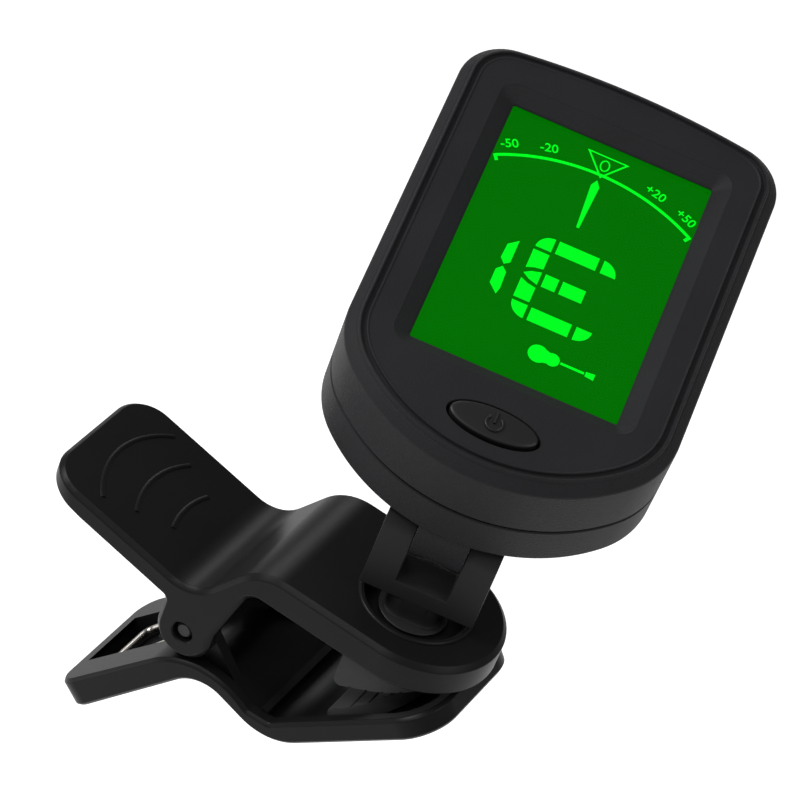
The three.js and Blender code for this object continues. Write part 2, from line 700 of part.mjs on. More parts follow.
function lowerLever() {
  const half = CLIP_WIDTH / 2;
  const inner = half - CLIP_WALL;
  const block = profile(outline([...lowerUnderside(0), ...lowerRim()]), -half, half);
  const body = block.intersect(lowerTrim(0));
  const channelShape = outline([...lowerUnderside(LOWER_WALL), [-40, 20], [20, 20]]);
  // The jaw's channel stops at the crest; the handle has a narrower pocket between broad rails.
  const jawChannel = profile(channelShape, -inner, inner)
    .intersect(lowerTrim(CLIP_WALL))
    .intersect(plate(rectangle(FAR, FAR, 0, LOWER_CREST.x + 0.3 + FAR / 2, 0), -FAR, FAR));
  const pocketPlan = plate(rectangle(32, 2 * POCKET_HALF, 1.5, -18, 0), -FAR, FAR);
  const pocket = profile(channelShape, -POCKET_HALF, POCKET_HALF)
    .intersect(lowerTrim(LOWER_END_BAR))
    .intersect(pocketPlan);
  const rib = profile(
    outline([
      [-9.3, JAW_TOP - 21.2],
      [-8.2, JAW_TOP - 21.2],
      [-8.4, JAW_TOP - 18.6],
      [-9.3, JAW_TOP - 18.6],
    ]),
    -inner - 0.2,
    inner + 0.2,
  );
  const pinHole = along.y(disc(PIVOT_PIN_RADIUS + GAP, -half - 1, half + 1, 20));
  const shell = join(cut(body, jawChannel, pocket), lowerLug(-1), lowerLug(1), rib);
  return cut(shell, pinHole.translate([PIVOT.x, 0, PIVOT.z]));
}

// ---------------------------------------------------------------- pads, pin and spring

// Corners of a pad's gripping face, with square grooves cut into the rubber on its left-hand side.
function groovedFace(from, to, first, count) {
  const { width, depth, pitch } = PAD_GROOVE;
  const way = new THREE.Vector2(to[0] - from[0], to[1] - from[1]).normalize();
  const point = (distance, inward) => [
    from[0] + way.x * distance - way.y * inward,
    from[1] + way.y * distance + way.x * inward,
  ];
  const corners = [];
  for (let i = 0; i < count; i += 1) {
    const start = first + i * pitch;
    corners.push(point(start, 0), point(start, depth));
    corners.push(point(start + width, depth), point(start + width, 0));
  }
  return [from, ...corners, to];
}

// Rubber block under the upper jaw. Its gripping face leans, so that it meets the lower pad squarely.
function upperPad() {
  const half = CLIP_WIDTH / 2 - CLIP_WALL - GAP;
  const { left, right, corner, lean, firstGroove } = UPPER_PAD;
  const onFace = (x, radius) => [x, x * Math.tan(lean), radius];
  const top = JAW_TOP - TOP_WALL - GAP;
  const side = outline([
    ...groovedFace(onFace(left, 0.8), onFace(corner, 0.4), firstGroove, 4),
    [right, top - 2],
    [right, top],
    [left, top],
  ]);
  const plan = tongue(left, JAW_TIP_X - CLIP_WALL - GAP, half);
  const block = profile(side, -half, half).intersect(plate(plan, -FAR, FAR));
  const bossRoom = disc(BOSS.radius + GAP, JAW_TOP - BOSS.depth - GAP, JAW_TOP, 32);
  const screwRoom = disc(WASHER.radius + 0.4, JAW_TOP - 5.3, JAW_TOP, 24);
  return cut(block, bossRoom, screwRoom);
}

function lowerPad() {
  const half = CLIP_WIDTH / 2 - CLIP_WALL - GAP;
  const low = LOWER_WALL + GAP;
  const { start, end, height, firstGroove } = LOWER_PAD;
  const tipward = onLowerJaw(end - 0.6, height, 0.3);
  const face = groovedFace(tipward, onLowerJaw(start, height, 0.9), firstGroove, 3);
  const side = outline([onLowerJaw(start, low), onLowerJaw(end, low), ...face]);
  const trim = plate(tongue(0, end - 0.1, half), -FAR, FAR);
  return profile(side, -half, half).intersect(alongLowerJaw(trim));
}

function pivotPin() {
  const length = CLIP_WIDTH - 0.8;
  const pin = along.y(disc(PIVOT_PIN_RADIUS, -length / 2, length / 2, 20));
  return pin.translate([PIVOT.x, 0, PIVOT.z]);
}

// Torsion spring: two coils round the pin, joined by a U that lies in the lower handle's pocket,
// and two short legs under the upper handle.
function clipSpring() {
  const { wire, coil, turns, pitch, legY, legLength, sink } = SPRING;
  const { x, z } = PIVOT;
  // Direction of the lower handle from its crest to its end, and square to it towards its floor.
  const down = new THREE.Vector2(LOWER_HANDLE.x - LOWER_CREST.x, LOWER_HANDLE.z - LOWER_CREST.z);
  down.normalize();
  const floorward = new THREE.Vector2(-down.y, down.x);
  const onLeg = (t, y) => {
    const drop = coil + sink * Math.min(1, t / (legLength * 0.9));
    const px = x + floorward.x * drop + down.x * t;
    const pz = z + floorward.y * drop + down.y * t;
    return new THREE.Vector3(px, y, pz);
  };
  const startAngle = Math.atan2(floorward.y, floorward.x);
  const sweep = 2 * Math.PI * turns;
  const steps = Math.round(14 * turns);
  const innerY = legY - pitch * turns;
  const half = [new THREE.Vector3(x - 13, innerY, z + 5.3), new THREE.Vector3(x - 7, innerY, z + 3.9)];
  for (let i = 0; i <= steps; i += 1) {
    const left = 1 - i / steps;
    const angle = startAngle + sweep * left;
    const y = legY - pitch * turns * left;
    half.push(new THREE.Vector3(x + coil * Math.cos(angle), y, z + coil * Math.sin(angle)));
  }
  half.push(onLeg(5, legY), onLeg(10, legY), onLeg(legLength - 1.2, legY));
  half.push(onLeg(legLength - 0.3, legY - 0.4), onLeg(legLength, legY - 1.3));
  const other = half.map((point) => new THREE.Vector3(point.x, -point.y, point.z)).reverse();
  const geometry = new THREE.ExtrudeGeometry(polygon(ellipse(wire, wire), 4), {
    steps: 130,
    extrudePath: new THREE.CatmullRomCurve3([...half, ...other], false, "centripetal"),
  });
  return solid(geometry);
}

// ---------------------------------------------------------------- assembly

const tuner = new THREE.Group();
tuner.add(
  piece("upper_lever", upperLever(), "clip"),
  piece("lower_lever", lowerLever(), "clip"),
  piece("pivot_pin", pivotPin(), "steel"),
  piece("clip_spring", clipSpring(), "steel"),
  piece("upper_jaw_pad", upperPad(), "rubber"),
  piece("lower_jaw_pad", lowerPad(), "rubber"),
  swivel(),
);

export default tuner;
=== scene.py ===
"""Looks of a clip-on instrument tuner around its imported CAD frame.

Pieces are drawn in millimetres in three local frames (clip, fork, head) and turned into metres of the
row frame when they are finished.
"""

import json
import math

import bmesh
import bpy
from mathutils import Matrix, Vector


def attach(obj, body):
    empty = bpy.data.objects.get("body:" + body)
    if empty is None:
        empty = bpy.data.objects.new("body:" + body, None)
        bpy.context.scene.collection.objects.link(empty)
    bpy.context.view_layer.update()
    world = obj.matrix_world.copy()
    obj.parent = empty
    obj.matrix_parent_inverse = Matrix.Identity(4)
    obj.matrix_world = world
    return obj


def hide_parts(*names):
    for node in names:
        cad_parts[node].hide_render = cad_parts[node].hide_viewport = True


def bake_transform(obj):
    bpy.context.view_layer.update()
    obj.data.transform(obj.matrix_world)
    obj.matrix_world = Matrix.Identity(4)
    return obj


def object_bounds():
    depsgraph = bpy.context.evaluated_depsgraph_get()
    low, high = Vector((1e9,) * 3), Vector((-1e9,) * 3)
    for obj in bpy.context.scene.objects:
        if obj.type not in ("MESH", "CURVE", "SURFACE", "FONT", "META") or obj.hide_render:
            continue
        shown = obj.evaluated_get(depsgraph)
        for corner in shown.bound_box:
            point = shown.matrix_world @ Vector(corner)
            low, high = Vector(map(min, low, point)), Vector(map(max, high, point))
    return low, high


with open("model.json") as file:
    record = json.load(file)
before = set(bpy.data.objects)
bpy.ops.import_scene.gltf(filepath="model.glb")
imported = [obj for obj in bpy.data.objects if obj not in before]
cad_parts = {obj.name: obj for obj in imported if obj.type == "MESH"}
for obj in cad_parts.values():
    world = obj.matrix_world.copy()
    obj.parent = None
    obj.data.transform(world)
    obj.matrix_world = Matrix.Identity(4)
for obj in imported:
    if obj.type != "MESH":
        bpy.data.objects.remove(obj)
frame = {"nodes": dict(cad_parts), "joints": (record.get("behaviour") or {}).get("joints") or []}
cad_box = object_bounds()

# ------------------------------------------------------------------ dimensions, in millimetres

MM = 0.001
GAP = 0.3

CLIP_HALF = 9.8
CLIP_WALL = 1.6
JAW_TOP = 8.6
TOP_WALL = 1.8
JAW_SIDE = 4.3
JAW_TIP_X = 10.7
HANDLE_END_X = -42.7
HANDLE_CORNER = 4.5
EAR_RADIUS = 3.5
EDGE_CHAMFER = 0.6
RECESS_RADIUS, RECESS_DEPTH = 5.9, 1.7
BEAD_INNER, BEAD_OUTER, BEAD_HEIGHT = 6.15, 6.75, 0.28
BOSS_RADIUS, BOSS_DEPTH = 6.9, 2.9  # round boss under the upper jaw, which carries the swivel
PIVOT_HOLE_RADIUS = 1.3
BEYOND_TIP_X, BEYOND_HANDLE_X = 14, HANDLE_END_X - 2  # ends of side outlines, trimmed off later
OVERSIZE = 60  # reach of solids that only trim others

LOWER_JAW_ANGLE = math.radians(41)
LOWER_JAW_START = Vector((-3.4, JAW_TOP - 19.1))
LOWER_JAW_LENGTH = 18.9
LOWER_JAW_CORNER = 5.0
LOWER_HANDLE_CORNER = 3.0
LOWER_END_BAR = 1.3
POCKET_HALF = 5.0
JAW_WALL_HEIGHT = 2.75
LOWER_WALL = 1.3
LOWER_HANDLE = Vector((-30.2, JAW_TOP - 35.15))
LOWER_CREST = Vector((-17.3, JAW_TOP - 18.8))
LOWER_DIP = Vector((-6.9, JAW_TOP - 22.1))
LUG_OUTSIDE = 7.7
LUG_THICK = 1.5

HINGE_HEIGHT = JAW_TOP + 9.8
FORK_BOTTOM = JAW_TOP + 1.5
FORK_HALF = 6.7
FORK_THICK = 5.1
FORK_WINDOW = 6.1
FORK_BASE = 2.1
FOOT_RADIUS, FOOT_EDGE_RADIUS = 4.05, 3.95
NECK_WIDTH, NECK_CORNER = 6.4, 2.0
HINGE_HOLE_RADIUS = 1.0
SCREW_SHANK_RADIUS = 0.8

HEAD_HALF = 19.1
HEAD_HEIGHT = 56.4
HEAD_DEPTH = 14.5
SEAM_DEPTH = 8.6
SHELL_WALL = 1.6
BACK = -HEAD_DEPTH
BACK_WALL = 1.4
TOP_RADIUS = 95.0
TOP_CORNER = 6.0
BOTTOM_RADIUS = 22.3
BOTTOM_CORNER = 10.8
HINGE_Y = 2.65
HINGE_BEHIND = 3.6
KNUCKLE_RADIUS = 2.9
KNUCKLE_PLAY = 0.05
DISPLAY_Y = 30.85
DOOR_Y = 31.0
DOOR_WIDTH, DOOR_HEIGHT = 22, 25
DISPLAY_WIDTH = 24.0
DISPLAY_HEIGHT = 34.4
BUTTON_Y = 6.4
BUTTON_HALF_WIDTH, BUTTON_HALF_HEIGHT = 5.0, 1.95
SCREWS = [(x, y) for y in (13.5, 46.0) for x in (-15.4, 15.4)]
SCREW_HOLE_RADIUS = 1.1

# ------------------------------------------------------------------ the three local frames

joints = {joint["name"]: joint for joint in frame["joints"]}
HEAD_X = Vector(joints["head_tilt"]["axis"]).normalized()
FACE_NORMAL = -Vector(joints["button_press"]["axis"]).normalized()
HINGE = Vector(joints["head_tilt"]["pos_m"])
PIVOT = Vector(joints["clip_open"]["pos_m"]) / MM


def local_frame(x, z, origin):
    turn = Matrix((x, z.cross(x), z)).transposed().to_4x4()
    return Matrix.Translation(origin) @ turn


CLIP = Matrix.Identity(4)
FORK = local_frame(HEAD_X, Vector((0, 0, 1)), Vector())
HEAD = local_frame(HEAD_X, FACE_NORMAL, HINGE) @ Matrix.Translation(
    Vector((0, -HINGE_Y, HEAD_DEPTH + HINGE_BEHIND)) * MM
)

# ------------------------------------------------------------------ outlines

NEAR = 2e-3  # points closer than this count as one


def arc(x, y, radius, start, end, steps):
    """Points on an arc, in degrees, both ends included."""
    angles = [math.radians(start + (end - start) * i / steps) for i in range(steps + 1)]
    return [(x + radius * math.cos(a), y + radius * math.sin(a)) for a in angles]


def outline(corners, degrees=6):
    """A closed outline through corners (x, y, radius), each rounded by an arc."""
    points = []
    for i, corner in enumerate(corners):
        radius = corner[2] if len(corner) > 2 else 0
        here = Vector(corner[:2])
        before = (Vector(corners[i - 1][:2]) - here).normalized()
        after = (Vector(corners[(i + 1) % len(corners)][:2]) - here).normalized()
        half = math.acos(max(-1, min(1, before.dot(after)))) / 2
        if radius == 0:
            points.append(tuple(here))
            continue
        start = here + before * radius / math.tan(half)
        centre = here + (before + after).normalized() * radius / math.sin(half)
        sweep = math.pi - 2 * half
        if before.x * after.y - before.y * after.x > 0:
            sweep = -sweep
        steps = max(2, round(abs(math.degrees(sweep)) / degrees))
        first = math.atan2(start.y - centre.y, start.x - centre.x)
        for k in range(steps + 1):
            angle = first + sweep * k / steps
            points.append((centre.x + radius * math.cos(angle), centre.y + radius * math.sin(angle)))
    return points


def distinct(points):
    """The points without those that all but repeat the one before."""
    return [p for i, p in enumerate(points) if (Vector(p) - Vector(points[i - 1])).length > NEAR]


def rectangle(width, height, radius=0, x=0, y=0):
    w, h = width / 2, height / 2
    corners = [(x - w, y - h), (x + w, y - h), (x + w, y + h), (x - w, y + h)]
    return outline([(*corner, radius) for corner in corners])


def ellipse(half_width, half_height, x=0, y=0, count=72):
    turns = [2 * math.pi * i / count for i in range(count)]
    return [(x + half_width * math.cos(t), y + half_height * math.sin(t)) for t in turns]


def tongue(left, right, half, corner=0):
    """A strip along X with a half-round right end."""
    corners = [(left, -half, corner), (right, -half, half), (right, half, half), (left, half, corner)]
    return outline(corners, 5)


def head_outline(inset):
    """The head's outline moved in by an inset, always with the same number of points."""
    half = HEAD_HALF - inset
    top, bottom = TOP_RADIUS - inset, BOTTOM_RADIUS - inset
    top_corner, bottom_corner = TOP_CORNER - inset, BOTTOM_CORNER - inset
    top_x, bottom_x = half - top_corner, half - bottom_corner
    top_centre = HEAD_HEIGHT - TOP_RADIUS
    top_y = top_centre + math.sqrt((top - top_corner) ** 2 - top_x**2)
    bottom_y = BOTTOM_RADIUS - math.sqrt((bottom - bottom_corner) ** 2 - bottom_x**2)
    a = math.degrees(math.atan2(top_y - top_centre, top_x))
    b = math.degrees(math.atan2(BOTTOM_RADIUS - bottom_y, bottom_x))
    points = arc(top_x, top_y, top_corner, 0, a, 14)
    points += arc(0, top_centre, top, a, 180 - a, 20)[1:]
    points += arc(-top_x, top_y, top_corner, 180 - a, 180, 14)[1:]
    points += arc(-bottom_x, bottom_y, bottom_corner, 180, 180 + b, 16)
    points += arc(0, BOTTOM_RADIUS, bottom, 180 + b, 360 - b, 36)[1:]
    points += arc(bottom_x, bottom_y, bottom_corner, 360 - b, 360, 16)[1:]
    return points


# ------------------------------------------------------------------ solids


def linked(name, data):
    obj = bpy.data.objects.new(name, data)
    bpy.context.scene.collection.objects.link(obj)
    return obj


def new_object(name, vertices, faces):
    mesh = bpy.data.meshes.new(name)
    mesh.from_pydata([tuple(v) for v in vertices], [], faces)
    mesh.update()
    return linked(name, mesh)


def loft(rings):
    """A closed solid through rings of as many points each, with flat ends."""
    count = len(rings[0])
    vertices = [point for ring in rings for point in ring]
    faces = [list(reversed(range(count)))]
    for k in range(len(rings) - 1):
        low, high = k * count, (k + 1) * count
        for i in range(count):
            j = (i + 1) % count
            faces.append([low + i, low + j, high + j, high + i])
    faces.append([(len(rings) - 1) * count + i for i in range(count)])
    return new_object("solid", vertices, faces)


def at_height(points, z):
    return [(x, y, z) for x, y in points]


def prism(points, low, high):
    points = distinct(points)
    area = sum(p[0] * q[1] - q[0] * p[1] for p, q in zip(points, points[1:] + points[:1]))
    if area < 0:
        points.reverse()
    return loft([at_height(points, low), at_height(points, high)])


def moved(obj, matrix):
    obj.data.transform(matrix)
    return obj


def profile(points, low, high):
    """An outline drawn in X and Z, extruded along Y."""
    return moved(prism(points, -high, -low), Matrix.Rotation(math.pi / 2, 4, "X"))


def crosswise(points, low, high):
    """An outline drawn in Y and Z, extruded along X."""
    swap = Matrix(((0, 0, 1, 0), (1, 0, 0, 0), (0, 1, 0, 0), (0, 0, 0, 1)))
    return moved(prism(points, low, high), swap)


def turned(points, x=0, y=0, count=48):
    """A turned solid about Z through points (radius, z), from low to high."""
    smallest = 1e-3
    rings = []
    for radius, z in points:
        reach = max(radius, smallest)
        rings.append(at_height(ellipse(reach, reach, x, y, count), z))
    return loft(rings)


def disc(radius, low, high, x=0, y=0, count=48):
    return turned([(radius, low), (radius, high)], x, y, count)


def along(axis, obj):
    if axis == "X":
        return moved(obj, Matrix.Rotation(math.pi / 2, 4, "Y"))
    return moved(obj, Matrix.Rotation(-math.pi / 2, 4, "X"))


def settle(obj):
    """Apply the modifiers of obj to its mesh."""
    graph = bpy.context.evaluated_depsgraph_get()
    mesh = bpy.data.meshes.new_from_object(obj.evaluated_get(graph))
    old = obj.data
    obj.modifiers.clear()
    obj.data = mesh
    bpy.data.meshes.remove(old)
    return obj


def discard(obj):
    mesh = obj.data
    bpy.data.objects.remove(obj)
    bpy.data.meshes.remove(mesh)


def combine(obj, operation, *tools):
    for tool in tools:
        modifier = obj.modifiers.new("combine", "BOOLEAN")
        modifier.operation = operation
        modifier.solver = "MANIFOLD"
        modifier.object = tool
        settle(obj)
        if not obj.data.polygons:
            raise ValueError("empty result of " + operation)
        discard(tool)
    return obj


def join(obj, *tools):
    return combine(obj, "UNION", *tools)


def cut(obj, *tools):
    return combine(obj, "DIFFERENCE", *tools)


def common(obj, *tools):
    return combine(obj, "INTERSECT", *tools)


def soften(obj, width, segments, angle):
    """Bevel the edges that turn by more than an angle in degrees."""
    bevel = obj.modifiers.new("soften", "BEVEL")
    bevel.width = width
    bevel.segments = segments
    bevel.limit_method = "ANGLE"
    bevel.angle_limit = math.radians(angle)
    bevel.use_clamp_overlap = False
    bevel.miter_outer = "MITER_ARC"
    return settle(obj)


def clean(obj, distance=NEAR):
    """Merge near points and flatten needle faces left by joins and cuts."""
    work = bmesh.new()
    work.from_mesh(obj.data)
    bmesh.ops.remove_doubles(work, verts=work.verts, dist=distance)
    bmesh.ops.dissolve_degenerate(work, edges=work.edges, dist=distance)
    work.to_mesh(obj.data)
    work.free()
    return obj


def mesh_of_curve(curve):
    holder = linked("curve", curve)
    graph = bpy.context.evaluated_depsgraph_get()
    mesh = bpy.data.meshes.new_from_object(holder.evaluated_get(graph))
    bpy.data.objects.remove(holder)
    bpy.data.curves.remove(curve)
    return mesh


def tube(path, radius, resolution=6):
    """A round wire along points, with flat ends."""
    curve = bpy.data.curves.new("tube", "CURVE")
    curve.dimensions = "3D"
    curve.bevel_depth = radius
    curve.bevel_resolution = resolution
    curve.use_fill_caps = True
    spline = curve.splines.new("POLY")
    spline.points.add(len(path) - 1)
    for point, place in zip(spline.points, path):
        point.co = (*place, 1)
    mesh = mesh_of_curve(curve)
    obj = linked("tube", mesh)
    work = bmesh.new()
    work.from_mesh(mesh)
    bmesh.ops.remove_doubles(work, verts=work.verts, dist=1e-4)
    bmesh.ops.recalc_face_normals(work, faces=work.faces)
    work.to_mesh(mesh)
    work.free()
    return obj


def finish_piece(obj, name, place, body, material, replaces=(), smooth=32, ride=True):
    """Name obj, bring it into the row frame in metres, shade it and tie it to its CAD body."""
    obj.name = name
    obj.data.name = name
    obj.data.transform(place @ Matrix.Scale(MM, 4))
    obj.data.materials.clear()
    obj.data.materials.append(material)
    obj.data.shade_smooth()
    obj.data.set_sharp_from_angle(angle=math.radians(smooth))
    weigh = obj.modifiers.new("weigh", "WEIGHTED_NORMAL")
    weigh.keep_sharp = True
    weigh.weight = 90
    settle(obj)
    if ride:
        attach(obj, body)
    if replaces:
        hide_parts(*replaces)
    return obj


# ------------------------------------------------------------------ materials


def node(tree, kind, **values):
    made = tree.nodes.new(kind)
    for name, value in values.items():
        if name in made.inputs:
            made.inputs[name].default_value = value
        else:
            setattr(made, name, value)
    return made


def principled(name, color, **values):
    """A new material with a plain Principled shader, its node tree and that shader."""
    material = bpy.data.materials.new(name)
    material.use_nodes = True
    tree = material.node_tree
    shader = tree.nodes["Principled BSDF"]
    shader.inputs["Base Color"].default_value = (*color, 1)
    for key, value in values.items():
        shader.inputs[key.replace("_", " ")].default_value = value
    return material, tree, shader


def surface(name, color, roughness, metallic=0.0, specular=0.5, grain=None, tint=None):
    """A plastic, rubber or metal surface. grain is (size in mm, bump in mm, roughness change);
    tint is (size in mm, second colour) for a slow change of colour over the surface."""
    material, tree, shader = principled(name, color, Roughness=roughness, Metallic=metallic)
    shader.inputs["Specular IOR Level"].default_value = specular
    place = node(tree, "ShaderNodeTexCoord")
    if grain:
        size, height, change = grain
        noise = node(tree, "ShaderNodeTexNoise", Scale=1 / (size * MM), Detail=3.0, Roughness=0.6)
        tree.links.new(place.outputs["Object"], noise.inputs["Vector"])
        bump = node(tree, "ShaderNodeBump", Strength=1.0, Distance=height * MM)
        tree.links.new(noise.outputs["Fac"], bump.inputs["Height"])
        tree.links.new(bump.outputs["Normal"], shader.inputs["Normal"])
        spread = node(tree, "ShaderNodeMapRange")
        spread.inputs["To Min"].default_value = max(0.02, roughness - change)
        spread.inputs["To Max"].default_value = min(1.0, roughness + change)
        tree.links.new(noise.outputs["Fac"], spread.inputs["Value"])
        tree.links.new(spread.outputs["Result"], shader.inputs["Roughness"])
    if tint:
        size, second = tint
        cloud = node(tree, "ShaderNodeTexNoise", Scale=1 / (size * MM), Detail=2.0)
        tree.links.new(place.outputs["Object"], cloud.inputs["Vector"])
        ramp = node(tree, "ShaderNodeValToRGB")
        ramp.color_ramp.elements[0].position = 0.35
        ramp.color_ramp.elements[0].color = (*color, 1)
        ramp.color_ramp.elements[1].position = 0.7
        ramp.color_ramp.elements[1].color = (*second, 1)
        tree.links.new(cloud.outputs["Fac"], ramp.inputs["Fac"])
        tree.links.new(ramp.outputs["Color"], shader.inputs["Base Color"])
    return material


def lit(name, color, spread=None):
    """A lit display layer: it shines by itself and keeps a thin gloss. spread is (size in mm, second
    colour) for a slow change of colour over the layer."""
    material, tree, shader = principled(name, (0, 0, 0), Roughness=0.3, Emission_Strength=1.0)
    shader.inputs["Specular IOR Level"].default_value = 0.02
    shader.inputs["Emission Color"].default_value = (*color, 1)
    if spread:
        place = node(tree, "ShaderNodeTexCoord")
        cloud = node(tree, "ShaderNodeTexNoise", Scale=1 / (spread[0] * MM), Detail=1.0)
        tree.links.new(place.outputs["Object"], cloud.inputs["Vector"])
        ramp = node(tree, "ShaderNodeValToRGB")
        ramp.color_ramp.elements[0].color = (*color, 1)
        ramp.color_ramp.elements[1].color = (*spread[1], 1)
        tree.links.new(cloud.outputs["Fac"], ramp.inputs["Fac"])
        tree.links.new(ramp.outputs["Color"], shader.inputs["Emission Color"])
    return material


CASING = surface("casing_plastic", (0.0155, 0.0155, 0.0170), 0.5, specular=0.08,
                 grain=(0.24, 0.06, 0.10), tint=(9.0, (0.0175, 0.0175, 0.0192)))
CLIP_PLASTIC = surface("clip_plastic", (0.006, 0.006, 0.0062), 0.36, specular=0.1,
                       grain=(0.22, 0.003, 0.08), tint=(12.0, (0.0075, 0.0075, 0.0078)))
FORK_PLASTIC = surface("fork_plastic", (0.0168, 0.0168, 0.0172), 0.45, specular=0.12,
                       grain=(0.2, 0.006, 0.08))
BUTTON_PLASTIC = surface("button_plastic", (0.009, 0.009, 0.010), 0.42, specular=0.25,
                         grain=(0.2, 0.006, 0.06))
RUBBER = surface("rubber", (0.019, 0.019, 0.019), 0.8, grain=(0.3, 0.02, 0.1))
STEEL = surface("steel", (0.55, 0.55, 0.56), 0.28, 1.0, grain=(0.4, 0.003, 0.12))
SPRING_STEEL = surface("spring_steel", (0.42, 0.40, 0.37), 0.25, 1.0, grain=(0.3, 0.003, 0.1))
BLACK_STEEL = surface("blackened_steel", (0.012, 0.012, 0.012), 0.4, specular=0.3,
                      grain=(0.3, 0.004, 0.1))
BOARD = surface("solder_mask", (0.01, 0.09, 0.03), 0.35, grain=(0.5, 0.01, 0.1))
BRASS = surface("brass", (0.62, 0.45, 0.18), 0.3, 1.0, grain=(0.4, 0.003, 0.1))
CHIP = surface("chip_resin", (0.008, 0.008, 0.009), 0.55, grain=(0.1, 0.01, 0.1))
LIGHT_GUIDE = surface("light_guide", (0.35, 0.75, 0.3), 0.35, grain=(0.6, 0.01, 0.1))
DISPLAY_GREEN = lit("display_green", (0.0, 0.153, 0.0), spread=(14.0, (0.0, 0.163, 0.0)))
DISPLAY_MARK = lit("display_mark", (0.0, 1.0, 0.015))
WINDOW, _, _ = principled("window", (1, 1, 1), Roughness=0.02, Transmission_Weight=1.0, IOR=1.12)

NODE_LOOKS = {
    "display_window": WINDOW,
    "display_backlight": LIGHT_GUIDE,
    "zebra_strip": RUBBER,
    "circuit_board": BOARD,
    "controller_chip": CHIP,
    "tact_switch": STEEL,
    "piezo_disc": BRASS,
    "coin_cell": STEEL,
    "battery_contact_negative": STEEL,
    "battery_contact_positive": STEEL,
    "swivel_washer": STEEL,
}
for name, material in NODE_LOOKS.items():
    cad_node = frame["nodes"][name]
    cad_node.data.materials.clear()
    cad_node.data.materials.append(material)

# ------------------------------------------------------------------ camera, floor and light

FLOOR_DROP = 0.22
FLOOR_HALF = 6.0
FLOOR_GLOW = 0.55
WORLD_STRENGTH = 0.3
WHITE = (1, 1, 1, 1)


def make_camera():
    camera = bpy.data.cameras.new("camera")
    camera.lens = 180.0
    camera.sensor_width = 36.0
    camera.clip_end = 20
    holder = linked("camera", camera)
    view = Vector((-0.21953, 0.74946, -0.62459))
    right = Vector((0.81984, 0.48875, 0.29830))
    back = -view
    up = back.cross(right)
    turn = Matrix((right, up, back)).transposed().to_4x4()
    holder.matrix_world = Matrix.Translation((0.08320, -0.32011, 0.29811)) @ turn
    bpy.context.scene.camera = holder
    return right, up, back


def make_light(name, place, width, height, power):
    """A rectangular light that looks at the middle of the object."""
    light = bpy.data.lights.new(name, "AREA")
    light.shape = "RECTANGLE"
    light.size, light.size_y = width, height
    light.energy = power
    turn = (MIDDLE - place).to_track_quat("-Z", "Y").to_matrix().to_4x4()
    linked(name, light).matrix_world = Matrix.Translation(place) @ turn


def make_floor():
    corners = rectangle(2 * FLOOR_HALF, 2 * FLOOR_HALF)
    obj = new_object("floor", at_height(corners, 0), [[0, 1, 2, 3]])
    obj.location = (0, 0, cad_box[0][2] - FLOOR_DROP)
    paper = surface("floor_paper", (0.93, 0.93, 0.93), 0.9, specular=0.1)
    shader = paper.node_tree.nodes["Principled BSDF"]
    shader.inputs["Emission Color"].default_value = WHITE
    shader.inputs["Emission Strength"].default_value = FLOOR_GLOW
    obj.data.materials.append(paper)


CAMERA_RIGHT, CAMERA_UP, CAMERA_BACK = make_camera()
MIDDLE = Vector((0.0, 0.012, 0.015))


def from_camera(right, up, back):
    """A place given by how far right, up and back of the object's middle it is, as the camera sees it."""
    return MIDDLE + CAMERA_RIGHT * right + CAMERA_UP * up + CAMERA_BACK * back


# place, width, height and power
make_light("key", from_camera(-0.3, 0.4, 0.25), 0.25, 0.25, 2.3)
make_light("rim_left", from_camera(-0.5, 0.0, -0.1), 0.2, 0.5, 0.5)
make_light("fill", from_camera(0.4, 0.1, 0.35), 0.3, 0.3, 0.9)
make_light("back", MIDDLE + Vector((-0.33, 0.385, 0.22)), 0.18, 0.18, 0.33)
make_light("front", from_camera(-0.155, 0.22, 0.52), 0.12, 0.12, 0.5)
make_floor()
world = bpy.data.worlds.new("world")
world.use_nodes = True
background = world.node_tree.nodes["Background"]
background.inputs["Color"].default_value = WHITE
background.inputs["Strength"].default_value = WORLD_STRENGTH
bpy.context.scene.world = world
bpy.context.scene.view_settings.view_transform = "Standard"

# ------------------------------------------------------------------ head


def screw_posts(radius, low, high):
    return [disc(radius, low, high, x, y, 24) for x, y in SCREWS]


def head_solid(section):
    """The head's outline through (inset, z), from low to high."""
    return loft([at_height(head_outline(inset), z) for inset, z in section])


def rounded_loft(width, height, y, radius, radius_growth, section):
    """A rounded rectangle through (growth of each side, z), from low to high."""
    return loft([
        at_height(rectangle(width + 2 * grow, height + 2 * grow, radius + radius_growth * grow, 0, y), z)
        for grow, z in section
    ])


